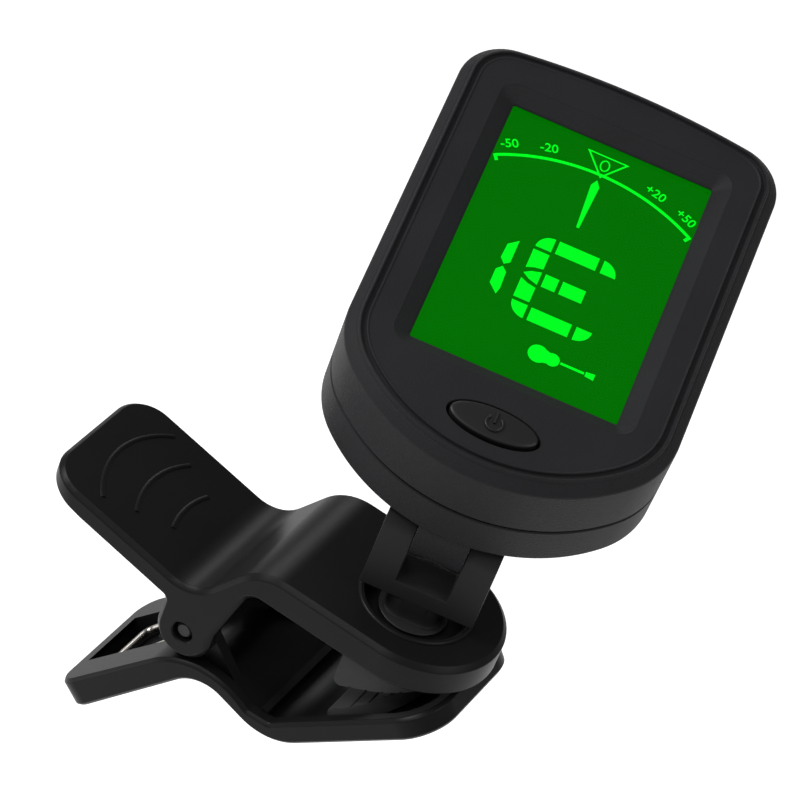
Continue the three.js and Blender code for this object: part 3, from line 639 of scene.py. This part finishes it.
def front_shell():
    seam = -SEAM_DEPTH + GAP / 2
    # (inset, z) from the seam up the wall, over the shoulder and the double bead to the face
    section = [
        (0.14, seam), (0.0, seam + 0.16), (0.0, -1.6), (0.03, -1.42), (0.1, -1.27), (0.22, -1.13),
        (1.0, -0.42), (1.16, -0.36), (1.24, -0.24), (1.28, -0.02), (1.35, 0.08), (1.45, 0.12),
        (1.55, 0.08), (1.62, -0.02), (1.67, -0.24), (1.76, -0.34), (2.02, -0.34), (2.11, -0.24),
        (2.15, -0.04), (2.21, 0.05), (2.3, 0.09), (2.39, 0.05), (2.46, -0.03), (2.65, -0.06),
    ]
    shell = head_solid(section)
    # (growth, z) up the slanted sides of the display's recess
    mouth_section = [
        (0.0, -1.6), (0.0, -1.42), (0.08, -1.28), (0.22, -1.17), (1.7, -0.24), (1.86, -0.16),
        (1.96, -0.08), (2.0, 0.1), (2.0, 0.5),
    ]
    mouth = rounded_loft(DISPLAY_WIDTH, DISPLAY_HEIGHT, DISPLAY_Y, 0.3, 0.9, mouth_section)
    cavity = prism(head_outline(SHELL_WALL), seam - 1, -1.5)
    button_hole = loft([
        at_height(ellipse(BUTTON_HALF_WIDTH + grow, BUTTON_HALF_HEIGHT + grow, 0, BUTTON_Y), z)
        for grow, z in ((0.33, -3), (0.33, -0.22), (0.37, -0.1), (0.47, 0.02), (0.6, 0.3))
    ])
    cut(shell, cavity, mouth, button_hole)
    join(shell, *screw_posts(2.1, seam, -1.3))
    cut(shell, *screw_posts(SCREW_HOLE_RADIUS, seam - 1, -1.9))
    clean(shell)
    finish_piece(shell, "front_shell_detail", HEAD, "head", CASING, ["front_shell"], 28)


def rear_shell():
    top = -SEAM_DEPTH - GAP / 2
    inside = BACK + BACK_WALL
    section = [
        (0.6, BACK), (0.38, BACK + 0.04), (0.2, BACK + 0.13), (0.08, BACK + 0.27),
        (0.02, BACK + 0.42), (0.0, BACK + 0.6), (0.0, top - 0.16), (0.14, top),
    ]
    shell = head_solid(section)
    cut(shell, prism(head_outline(SHELL_WALL), inside, top + 1))
    lip = prism(head_outline(SHELL_WALL + GAP), top - 1.2, top + 1.2)
    join(lip, prism(head_outline(1.4), top - 1.2, top - 0.2))  # ties the lip to the wall
    cut(lip, prism(head_outline(2.9), top - 3, top + 3), *screw_posts(2.6, top, top + 3))
    join(shell, lip, *screw_posts(2.3, inside - 0.2, top))
    hinge_z = BACK - HINGE_BEHIND
    barrel = [
        (HINGE_Y + KNUCKLE_RADIUS, BACK + 0.5), (HINGE_Y - 2.3, BACK + 0.5),
        (HINGE_Y - KNUCKLE_RADIUS, BACK - 1.0),
    ]
    barrel += arc(HINGE_Y, hinge_z, KNUCKLE_RADIUS, 180, 360, 30)
    half_knuckle = FORK_WINDOW / 2 - KNUCKLE_PLAY
    join(shell, soften(crosswise(barrel, -half_knuckle, half_knuckle), 0.15, 2, 50))
    pin_hole = along("X", disc(HINGE_HOLE_RADIUS, -8, 8))
    cut(shell, moved(pin_hole, Matrix.Translation((0, HINGE_Y, hinge_z))))
    cut(shell, *screw_posts(SCREW_HOLE_RADIUS, BACK - 1, top + 1))
    for x, y in SCREWS:
        cut(shell, turned([(2.3, BACK - 0.5), (1.75, BACK + 0.25), (1.75, BACK + 1.35)], x, y, 32))
    bay = [(0.35, BACK - 1), (0.35, BACK + 0.02), (0.0, BACK + 0.3), (0.0, BACK + 3)]
    cut(shell, loft([
        at_height(
            rectangle(DOOR_WIDTH + 2 * GAP + grow, DOOR_HEIGHT + 2 * GAP + grow, 2 + grow / 2, 0, DOOR_Y), z
        )
        for grow, z in bay
    ]))
    # a finger notch that helps to lift the battery door
    cut(shell, prism(rectangle(7, 3.4, 1.6, 0, DOOR_Y + 13.2), BACK - 1, BACK + 0.7))
    clean(shell)
    finish_piece(shell, "rear_shell_detail", HEAD, "head", CASING, ["rear_shell"], 28)


def battery_door():
    section = [(-0.5, BACK), (-0.2, BACK + 0.08), (0.0, BACK + 0.3), (0.0, BACK + 1.2)]
    door = rounded_loft(DOOR_WIDTH, DOOR_HEIGHT, DOOR_Y, 1.8, 1, section)
    grooves, groove_pitch, first_groove_y = 5, 1.5, DOOR_Y + 9.6
    for i in range(grooves):
        groove = rectangle(8, 0.7, 0.34, 0, first_groove_y - groove_pitch * i)
        cut(door, prism(groove, BACK - 1, BACK + 0.35))
    clean(door)
    finish_piece(door, "battery_door_detail", HEAD, "door", CASING, ["battery_door"])


def button_height(share):
    """Height of the button's dome at a share of the way from its middle to its rim."""
    return 0.52 - 0.22 * share**2


def power_button():
    low = -2.4
    # (share of the full outline, z) up the button's side and over its dome
    section = [(1.0, low), (1.0, 0.1), (0.992, 0.2), (0.97, 0.27)]
    section += [(share, button_height(share)) for share in (0.93, 0.85, 0.7, 0.5, 0.3, 0.1, 0.01)]
    button = loft([
        at_height(ellipse(BUTTON_HALF_WIDTH * share, BUTTON_HALF_HEIGHT * share, 0, BUTTON_Y), z)
        for share, z in section
    ])
    flange = prism(ellipse(6.0, 2.85, 0, BUTTON_Y), -2.6, -1.8)
    plunger = disc(1.2, -4.2, low, 0, BUTTON_Y, 24)
    join(button, flange)
    join(button, plunger)
    # the raised power mark: an open ring and a bar
    centre = BUTTON_Y - 0.1
    stroke, ring_radius = 0.17, 0.93
    ring = at_height(arc(0, centre, ring_radius, 134, 406, 28), button_height(0.35) + 0.06)
    bar = [(0, centre + 1.4, button_height(0.65) + 0.09), (0, centre - 0.1, button_height(0) + 0.06)]
    join(button, tube(ring, stroke), tube(bar, stroke))
    clean(button)
    finish_piece(
        button, "power_button_detail", HEAD, "button", BUTTON_PLASTIC, ["power_button"], 40
    )


def screw(radius, low, high, shank, shank_end, x, y, name, body, place, replaces):
    """A screw whose head looks towards -Z, with a cross recess."""
    head = turned([
        (0, low), (radius * 0.8, low), (radius, low + 0.25), (radius, high), (shank, high),
        (shank, shank_end - 0.6), (0, shank_end),
    ], x, y, 32)
    for width, height in ((radius * 1.2, radius * 0.28), (radius * 0.28, radius * 1.2)):
        cut(head, prism(rectangle(width, height, 0, x, y), low - 1, low + 0.55))
    finish_piece(head, name, place, body, STEEL, [replaces])


def shell_screws():
    low = BACK + 0.2
    for i, (x, y) in enumerate(SCREWS):
        number = str(i + 1)
        screw(1.5, low, low + 1.0, SCREW_SHANK_RADIUS, -3.2, x, y, "shell_screw_detail_" + number, "head",
              HEAD, "shell_screw_" + number)


# ------------------------------------------------------------------ display image

IMAGE_LOW = -2.02
IMAGE_HIGH = -1.98
BAR = 1.8  # thickness of a segment
SEGMENT_GAP = 0.45


def display_panel():
    panel = prism(rectangle(25.8, 36.2, 0.4, 0, DISPLAY_Y), IMAGE_LOW - 0.9, IMAGE_LOW + 0.01)
    finish_piece(
        panel, "display_panel_lit", HEAD, "head", DISPLAY_GREEN, ["display_panel"]
    )


def band(outer, inner):
    """Flat ring between two loops with as many points each."""
    count = len(outer)
    vertices = [(x, y, z) for z in (IMAGE_LOW, IMAGE_HIGH) for loop in (outer, inner) for x, y in loop]
    faces = []
    for i in range(count):
        j = (i + 1) % count
        a, b, c, d = i, j, count + j, count + i
        up = 2 * count
        faces += [[a, d, c, b], [a + up, b + up, c + up, d + up]]
        faces += [[a, b, b + up, a + up], [d, d + up, c + up, c]]
    return new_object("band", vertices, faces)


def mark(points):
    return prism(points, IMAGE_LOW, IMAGE_HIGH)


def number_mark(text, x, y, turn):
    curve = bpy.data.curves.new("number", "FONT")
    curve.body = text
    curve.size = 1.6
    curve.align_x = "CENTER"
    curve.align_y = "CENTER"
    curve.extrude = (IMAGE_HIGH - IMAGE_LOW) / 2
    curve.offset = 0.02
    mesh = mesh_of_curve(curve)
    place = Matrix.Translation((x, y, (IMAGE_LOW + IMAGE_HIGH) / 2))
    mesh.transform(place @ Matrix.Rotation(math.radians(turn), 4, "Z"))
    return linked("number", mesh)


def scale_marks():
    """The tuning scale: a shallow arc with an end tick each side, its numbers, the pointer triangle
    with its nought, and the needle."""
    radius, top = 22.8, 44.2
    centre = top - radius
    reach = 31.2  # degrees each side of the middle
    half_line = 0.19
    line = arc(0, centre, radius + half_line, 90 - reach, 90 + reach, 40)
    line += arc(0, centre, radius - half_line, 90 + reach, 90 - reach, 40)
    marks = [mark(line)]
    tick_length, tick_width = 0.75, 0.4
    for side in (-1, 1):
        tip = math.radians(90 - side * reach)
        end = Vector((radius * math.cos(tip), centre + radius * math.sin(tip)))
        inward = Vector((-math.cos(tip), -math.sin(tip)))
        across = Vector((-side * math.sin(tip), side * math.cos(tip))) * tick_width
        foot = end + inward * tick_length
        marks.append(mark([tuple(end), tuple(foot), tuple(foot + across), tuple(end + across)]))
    distance = radius + 1.5
    for text, degrees in (("-50", 26.1), ("-20", 15.4), ("+20", -15.2), ("+50", -25.6)):
        angle = math.radians(90 + degrees)
        x, y = distance * math.cos(angle), centre + distance * math.sin(angle)
        marks.append(number_mark(text, x, y, degrees))
    outer = [(-2.5, 46.95), (0, 43.75), (2.5, 46.95)]
    inner = [(-2.1, 46.78), (0, 44.08), (2.1, 46.78)]
    marks.append(band(outer, inner))
    nought_y = 45.6
    marks.append(band(ellipse(0.58, 0.82, 0, nought_y, 40), ellipse(0.41, 0.65, 0, nought_y, 40)))
    needle = [(-0.15, 43.35), (-0.62, 42.45), (-0.27, 36.2), (0.07, 36.2), (0.38, 42.45)]
    marks.append(mark(needle))
    return marks


def note_marks():
    """The note E in block segments, and the string number 1 beside it."""
    left, right, low, high = -3.6, 5.9, 22.0, 33.5
    stem = left + 1.9  # right side of the upright
    bar_end = 3.5
    middle = (low + high) / 2
    bars = []
    for y in (low, high - BAR):
        start = stem + SEGMENT_GAP
        bars.append([(start, y), (bar_end, y), (bar_end, y + BAR), (start, y + BAR)])
    half_bar = BAR / 2
    for start, end in ((stem + SEGMENT_GAP, 0.35), (0.8, bar_end)):
        bars.append([(start, middle - half_bar), (end, middle - half_bar), (end, middle + half_bar),
                     (start, middle + half_bar)])
    # rounded corners at the four ends
    corner = 1.85
    top, bottom = high - corner, low + corner
    bars.append([(stem, top), (stem, high)] + arc(stem, top, corner, 92, 180, 14))
    bars.append([(stem, bottom), (left, bottom)] + arc(stem, bottom, corner, 182, 270, 14))
    tip = right - corner
    bars.append([(tip, high - BAR)] + arc(tip, high - BAR, BAR, 0, 90, 14))
    bars.append([(tip, low + BAR)] + arc(tip, low + BAR, BAR, -90, 0, 14))
    # upright: two blocks hollowed towards a pointed one in the middle
    upper = [
        (left, top - SEGMENT_GAP), (left, middle + 0.75), (left + 0.9, middle + 1.15),
        (stem, middle + half_bar + SEGMENT_GAP), (stem, top - SEGMENT_GAP),
    ]
    lower = [
        (left, bottom + SEGMENT_GAP), (stem, bottom + SEGMENT_GAP),
        (stem, middle - half_bar - SEGMENT_GAP), (left + 0.9, middle - 1.15), (left, middle - 0.75),
    ]
    point = [(left, middle), (left + 0.8, middle - 0.55), (stem, middle - half_bar),
             (stem, middle + half_bar), (left + 0.8, middle + 0.55)]
    bars += [upper, lower, point]
    # the string number: two slanted blocks
    bars.append([(-5.3, 31.4), (-6.4, 30.4), (-6.5, 28.4), (-5.9, 27.7), (-5.3, 28.2)])
    bars.append([(-5.9, 27.4), (-6.5, 26.7), (-6.5, 24.7), (-5.4, 23.6), (-5.2, 24.6), (-5.3, 26.8)])
    return [mark(points) for points in bars]


def guitar_marks():
    """A small guitar: two round bouts, a waist, a neck and a head."""
    y = 18.5
    body = arc(1.35, y, 1.15, 50, 310, 26)
    body += arc(3.0, y, 0.85, -120, -18, 12) + arc(3.0, y, 0.85, 18, 120, 12)
    neck = [(3.95, y - 0.16), (6.7, y - 0.16), (6.7, y + 0.16), (3.95, y + 0.16)]
    head = [(6.85, y - 0.3), (7.9, y - 0.42), (7.9, y + 0.42), (6.85, y + 0.3)]
    return [mark(points) for points in (body, neck, head)]


def display_marks():
    parts = scale_marks() + note_marks() + guitar_marks()
    vertices, faces = [], []
    for part in parts:
        first = len(vertices)
        vertices += [tuple(v.co) for v in part.data.vertices]
        faces += [[first + i for i in polygon.vertices] for polygon in part.data.polygons]
        bpy.data.objects.remove(part)
    marks = new_object("marks", vertices, faces)
    finish_piece(marks, "display_marks", HEAD, "head", DISPLAY_MARK)


# ------------------------------------------------------------------ fork


def swivel_fork():
    half = FORK_THICK / 2
    side = [(-half, FORK_BOTTOM), (half, FORK_BOTTOM)] + arc(0, HINGE_HEIGHT, half, 0, 180, 36)
    body = crosswise(side, -FORK_HALF, FORK_HALF)
    cut(body, prism(rectangle(FORK_WINDOW, FORK_THICK + 2), FORK_BOTTOM + FORK_BASE, HINGE_HEIGHT + 10))
    soften(body, 0.14, 2, 40)
    foot = JAW_TOP - RECESS_DEPTH + GAP
    # a thin round foot, and a neck that is broader than it is thick, flush with the front face
    plate = turned([
        (0, foot), (FOOT_EDGE_RADIUS, foot), (FOOT_RADIUS, foot + 0.1), (FOOT_EDGE_RADIUS, foot + 0.2),
        (3.0, foot + 0.3), (0, foot + 0.3),
    ], count=64)
    # (growth, z) up the neck, which flares into the foot
    neck_section = [
        (0.3, foot + 0.1), (0.28, foot + 0.35), (0.14, foot + 0.5), (0.05, foot + 0.75),
        (0.0, foot + 1.3), (0.0, FORK_BOTTOM + 0.6),
    ]
    neck = rounded_loft(NECK_WIDTH, FORK_THICK - 0.02, 0, NECK_CORNER, 1, neck_section)
    join(body, plate, neck)
    pin_hole = along("X", disc(HINGE_HOLE_RADIUS, -10, 10))
    cut(body, moved(pin_hole, Matrix.Translation((0, 0, HINGE_HEIGHT))))
    cut(body, disc(SCREW_HOLE_RADIUS, foot - 1, FORK_BOTTOM + 1.7))
    clean(body)
    finish_piece(body, "swivel_fork_detail", FORK, "swivel", FORK_PLASTIC, ["swivel_fork"])


def pin_solid(half_length, radius, chamfer, chamfer_length, count):
    """A pin along Z with chamfered ends."""
    end = radius - chamfer
    return turned([
        (0, -half_length), (end, -half_length), (radius, -half_length + chamfer_length),
        (radius, half_length - chamfer_length), (end, half_length), (0, half_length),
    ], count=count)


def swivel_hardware():
    pin = pin_solid(FORK_HALF - 0.25, 0.8, 0.2, 0.2, 32)
    moved(along("X", pin), Matrix.Translation((0, 0, HINGE_HEIGHT)))
    finish_piece(pin, "hinge_pin_detail", FORK, "swivel", STEEL, ["hinge_pin"])
    washer_thick = 0.4
    washer_low = JAW_TOP - BOSS_DEPTH - GAP - washer_thick
    head_top = washer_low - GAP
    screw(2.6, head_top - 1.0, head_top, SCREW_SHANK_RADIUS, FORK_BOTTOM + 1.3, 0, 0,
          "swivel_screw_detail", "swivel", FORK, "swivel_screw")


# ------------------------------------------------------------------ upper lever


def upper_top(drop):
    """The side outline's upper run, lowered by a drop, from the handle's end to the jaw's tip."""
    return [
        (BEYOND_HANDLE_X, JAW_TOP - 4.45 - drop), (-21.2, JAW_TOP - 9.1 - drop, 5.0 + drop * 0.5),
        (-15.0, JAW_TOP - drop, 6.5), (BEYOND_TIP_X, JAW_TOP - drop),
    ]


def upper_rim():
    """The side outline's lower run, from the jaw's tip round the ear to the handle's end."""
    x, z = PIVOT.x, PIVOT.z
    corner = EAR_RADIUS - 0.05
    return [
        (BEYOND_TIP_X, JAW_TOP - JAW_SIDE), (x + 5.6, JAW_TOP - JAW_SIDE, 2),
        (x + EAR_RADIUS, z + 1.8), (x + EAR_RADIUS, z - EAR_RADIUS, corner),
        (x - EAR_RADIUS, z - EAR_RADIUS, corner), (x - EAR_RADIUS, z + 2.9, 0.5),
        (-37, JAW_TOP - 9.1), (BEYOND_HANDLE_X, JAW_TOP - 6.9),
    ]


def lever_plan(inset):
    return tongue(HANDLE_END_X + inset, JAW_TIP_X - inset, CLIP_HALF - inset, HANDLE_CORNER - inset / 2)


def finger_ridges():
    """Three curved ridges on the handle, which bulge towards its end."""
    (x0, z0), (x1, z1) = upper_top(0)[0], upper_top(0)[1][:2]
    slope = math.atan2(z1 - z0, x1 - x0)
    radius, wire, sunk = 11.0, 0.45, 0.3
    ridges = []
    for apex, half_chord in ((-38.8, 7.4), (-33.8, 5.6), (-28.9, 3.7)):
        reach = math.degrees(math.asin(half_chord / radius))
        points = []
        for x, y in arc(apex + radius, 0, radius, 180 - reach, 180 + reach, 24):
            points.append((x, y, z0 + (x - x0) * math.tan(slope) - sunk))
        ridges.append(tube(points, wire))
    return ridges


def upper_lever():
    deep = JAW_TOP - 40
    # the side outline is wider than the clip, so that the plan alone sets its sides
    block = profile(outline(upper_top(0) + upper_rim()), -CLIP_HALF - 1, CLIP_HALF + 1)
    common(block, prism(lever_plan(0), deep, JAW_TOP + 10))
    clean(block, 0.02)
    soften(block, EDGE_CHAMFER, 1, 38)
    soften(block, 0.09, 2, 25)
    inner = CLIP_HALF - CLIP_WALL
    ends = [(BEYOND_TIP_X, deep), (BEYOND_HANDLE_X, deep)]
    hollow = profile(outline(upper_top(TOP_WALL) + ends), -inner, inner)
    common(hollow, prism(lever_plan(CLIP_WALL), deep, JAW_TOP + 10))
    cut(block, hollow)
    join(block, disc(BOSS_RADIUS, JAW_TOP - BOSS_DEPTH, JAW_TOP - TOP_WALL + 0.2, count=64))
    # the rounded bead round the recess: its outside is joined on, and its inside is left by the cut
    top = JAW_TOP + BEAD_HEIGHT
    middle, thick = (BEAD_INNER + BEAD_OUTER) / 2, (BEAD_OUTER - BEAD_INNER) / 2 + 0.1
    outside = arc(middle, JAW_TOP - 0.06, thick, 0, 90, 8)
    inside = arc(middle, JAW_TOP - 0.06, thick, 90, 160, 6)
    join(block, turned(
        [(0, JAW_TOP - 0.5), (middle + thick, JAW_TOP - 0.5), *outside, (0, top + 0.05)], count=96
    ))
    floor = JAW_TOP - RECESS_DEPTH
    cut(block, turned([
        (0, floor), (RECESS_RADIUS, floor), (RECESS_RADIUS, JAW_TOP - 0.2), *reversed(inside),
        (middle, top + 0.5), (0, top + 0.5),
    ], count=96))
    cut(block, disc(1.4, JAW_TOP - 6, JAW_TOP, count=32))
    hole = along("Y", turned([
        (1.75, -CLIP_HALF - 0.3), (PIVOT_HOLE_RADIUS, -CLIP_HALF + 0.15),
        (PIVOT_HOLE_RADIUS, CLIP_HALF - 0.15), (1.75, CLIP_HALF + 0.3),
    ], count=40))
    cut(block, moved(hole, Matrix.Translation((PIVOT.x, 0, PIVOT.z))))
    join(block, *finger_ridges())
    clean(block)
    finish_piece(
        block, "upper_lever_detail", CLIP, "upper_clip", CLIP_PLASTIC, ["upper_lever"], 30
    )


# ------------------------------------------------------------------ lower lever


def on_lower_jaw(s, n, radius=0):
    """An outline corner at a distance s along the lower jaw and n above its underside."""
    along_jaw = Vector((math.cos(LOWER_JAW_ANGLE), math.sin(LOWER_JAW_ANGLE)))
    square = Vector((-along_jaw.y, along_jaw.x))
    place = LOWER_JAW_START + along_jaw * s + square * n
    return (place.x, place.y, radius)


def lower_underside(rise):
    """The side outline's lower run, raised by a wall's thickness, from the jaw to the handle."""
    return [
        on_lower_jaw(LOWER_JAW_LENGTH + 4, rise),
        (LOWER_DIP.x - rise * 0.25, LOWER_DIP.y + rise * 1.1, 7.3 - rise * 0.5),
        (LOWER_CREST.x, LOWER_CREST.y + rise, 5.0),
        (LOWER_HANDLE.x - rise * 0.78, LOWER_HANDLE.y + rise * 0.62),
    ]


def lower_rim():
    """The side outline's upper run, from the handle to the jaw."""
    return [
        (-34.4, JAW_TOP - 34.5), (-18.5, JAW_TOP - 15.3, 9.4), (-10.4, JAW_TOP - 19.2, 0.6),
        on_lower_jaw(-3.1, JAW_WALL_HEIGHT, 0.8),
        on_lower_jaw(LOWER_JAW_LENGTH + 4, JAW_WALL_HEIGHT),
    ]


def tilted(obj, angle, origin):
    """Turn a solid so that its X axis climbs at an angle, then move it to a point in X and Z."""
    return moved(obj, Matrix.Translation((origin.x, 0, origin.y)) @ Matrix.Rotation(-angle, 4, "Y"))


def lower_trim(inset):
    """The space within the lower lever's sides and ends, moved in by an inset."""
    far = OVERSIZE
    half = CLIP_HALF - inset
    way = LOWER_CREST - LOWER_HANDLE
    corner = LOWER_HANDLE_CORNER
    plan = outline([(inset, -half, corner), (far, -half), (far, half), (inset, half, corner)])
    handle = tilted(prism(plan, -far, far), math.atan2(way.y, way.x), LOWER_HANDLE)
    end, corner = LOWER_JAW_LENGTH - inset, LOWER_JAW_CORNER - inset / 2
    plan = outline([(-far, -half), (end, -half, corner), (end, half, corner), (-far, half)])
    tip = prism(plan, -far, far)
    return common(handle, tilted(tip, LOWER_JAW_ANGLE, LOWER_JAW_START))


def lower_lug(side):
    """An ear of the lower lever that takes the pivot pin, inside the upper lever's ear."""
    x, z = PIVOT.x, PIVOT.z
    shape = outline([
        (x - 3.1, z - 4.6), (x - 2.9, z + 2.9, 2.6), (x + 2.9, z + 2.9, 2.6),
        (x + 3.0, z + 0.2, 0.6), (x + 8.4, z - 4.9), (x + 4, z - 4.4),
    ])
    low, high = sorted((side * LUG_OUTSIDE, side * (LUG_OUTSIDE - LUG_THICK)))
    return profile(shape, low, high)


def lower_lever():
    block = profile(outline(lower_underside(0) + lower_rim()), -CLIP_HALF - 1, CLIP_HALF + 1)
    common(block, lower_trim(0))
    clean(block, 0.02)
    soften(block, 0.4, 1, 38)
    soften(block, 0.08, 2, 25)
    inner = CLIP_HALF - CLIP_WALL
    floor = outline(lower_underside(LOWER_WALL) + [(-40, 20), (20, 20)])
    jaw_channel = profile(floor, -inner, inner)
    jaw_part = prism(rectangle(60, 60, 0, 13, 0), -OVERSIZE, OVERSIZE)
    common(jaw_channel, lower_trim(CLIP_WALL), jaw_part)
    pocket = profile(floor, -POCKET_HALF, POCKET_HALF)
    pocket_part = prism(rectangle(32, 2 * POCKET_HALF, 1.5, -18, 0), -OVERSIZE, OVERSIZE)
    common(pocket, lower_trim(LOWER_END_BAR), pocket_part)
    cut(block, jaw_channel, pocket)
    join(block, lower_lug(-1), lower_lug(1))
    rib_low, rib_high = JAW_TOP - 21.2, JAW_TOP - 18.6
    rib = [(-9.3, rib_low), (-8.2, rib_low), (-8.4, rib_high), (-9.3, rib_high)]
    join(block, profile(rib, -inner - 0.2, inner + 0.2))
    hole = along("Y", disc(PIVOT_HOLE_RADIUS, -CLIP_HALF - 1, CLIP_HALF + 1, count=40))
    cut(block, moved(hole, Matrix.Translation((PIVOT.x, 0, PIVOT.z))))
    clean(block)
    finish_piece(
        block, "lower_lever_detail", CLIP, "lower_clip", CLIP_PLASTIC, ["lower_lever"], 30
    )


# ------------------------------------------------------------------ pads, pin and spring

GROOVE_WIDTH, GROOVE_DEPTH, GROOVE_PITCH = 0.3, 0.12, 2.0


def grooved_face(start, end, first, count):
    """Outline corners of a pad's gripping face with a row of grooves, the first at a distance."""
    way = (Vector(end[:2]) - Vector(start[:2])).normalized()
    square = Vector((-way.y, way.x))
    corners = []
    for i in range(count):
        near = first + i * GROOVE_PITCH
        for distance, inward in (
            (near, 0), (near, GROOVE_DEPTH), (near + GROOVE_WIDTH, GROOVE_DEPTH), (near + GROOVE_WIDTH, 0),
        ):
            corners.append(tuple(Vector(start[:2]) + way * distance + square * inward))
    return [start, *corners, end]


def jaw_pads():
    half = CLIP_HALF - CLIP_WALL - GAP
    lean = math.tan(math.radians(28))
    top = JAW_TOP - TOP_WALL - GAP
    back_x, front_x = -3.2, 8.2
    side = grooved_face((back_x, back_x * lean, 0.8), (7.0, 7.0 * lean, 0.4), 2.37, 4)
    side += [(front_x, top - 2), (front_x, top), (back_x, top)]
    upper = profile(outline(side), -half, half)
    common(upper, prism(tongue(back_x, JAW_TIP_X - CLIP_WALL - GAP, half), -10, 20))
    soften(upper, 0.1, 2, 40)
    cut(upper, disc(BOSS_RADIUS + GAP, JAW_TOP - 3.2, JAW_TOP), disc(3.6, JAW_TOP - 5.3, JAW_TOP))
    clean(upper)
    finish_piece(upper, "upper_pad_detail", CLIP, "upper_clip", RUBBER, ["upper_jaw_pad"])
    low, high = LOWER_WALL + GAP, 3.5
    start, end = 4.0, 13.5
    side = [on_lower_jaw(start, low), on_lower_jaw(end, low)]
    side += grooved_face(on_lower_jaw(end - 0.6, high, 0.3), on_lower_jaw(start, high, 0.9), 1.3, 3)
    lower = profile(outline(side), -half, half)
    trim = prism(tongue(0, end - 0.1, half), -20, 20)
    common(lower, tilted(trim, LOWER_JAW_ANGLE, LOWER_JAW_START))
    soften(lower, 0.1, 2, 40)
    clean(lower)
    finish_piece(lower, "lower_pad_detail", CLIP, "lower_clip", RUBBER, ["lower_jaw_pad"])


def pivot_pin():
    pin = pin_solid(CLIP_HALF - 0.45, 1.0, 0.25, 0.25, 40)
    moved(along("Y", pin), Matrix.Translation((PIVOT.x, 0, PIVOT.z)))
    finish_piece(pin, "pivot_pin_detail", CLIP, "upper_clip", BLACK_STEEL, ["pivot_pin"])


def clip_spring():
    """Two coils round the pin, joined by a U in the lower handle's pocket, and two short upper legs."""
    coil, turns, pitch, wire = 2.0, 2.31, 1.05, 0.45
    leg_y, leg_length, sink, bend = 4.0, 18.0, 1.3, 1.3
    x, z = PIVOT.x, PIVOT.z
    down = (LOWER_HANDLE - LOWER_CREST).normalized()
    floorward = Vector((-down.y, down.x))

    def on_leg(t, y):
        """A point of a lower leg at a distance from the coil; the leg sinks to the pocket's floor."""
        drop = coil + sink * min(1, t / (leg_length * 0.9))
        return (x + floorward.x * drop + down.x * t, y, z + floorward.y * drop + down.y * t)

    start = math.atan2(floorward.y, floorward.x)
    inner_y = leg_y - pitch * turns
    half = [(x - 13, inner_y, z + 5.3), (x - 7, inner_y, z + 3.9)]
    steps = round(28 * turns)
    for i in range(steps + 1):
        left = 1 - i / steps
        angle = start + 2 * math.pi * turns * left
        half.append((x + coil * math.cos(angle), leg_y - pitch * turns * left, z + coil * math.sin(angle)))
    half += [on_leg(5, leg_y), on_leg(10, leg_y), on_leg(leg_length - bend, leg_y)]
    centre = Vector(on_leg(leg_length - bend, leg_y - bend))
    onward, outward = Vector((down.x, 0, down.y)), Vector((0, 1, 0))
    for degrees in (25, 45, 65, 90):
        a = math.radians(degrees)
        half.append(tuple(centre + onward * bend * math.sin(a) + outward * bend * math.cos(a)))
    path = half + [(px, -py, pz) for px, py, pz in reversed(half)]
    spring = tube(path, wire, resolution=5)
    spring = finish_piece(
        spring, "clip_spring_detail", CLIP, None, SPRING_STEEL, ["clip_spring"], 60, ride=False
    )
    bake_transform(spring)


front_shell()
rear_shell()
battery_door()
power_button()
shell_screws()
display_panel()
display_marks()
swivel_fork()
swivel_hardware()
upper_lever()
lower_lever()
jaw_pads()
pivot_pin()
clip_spring()
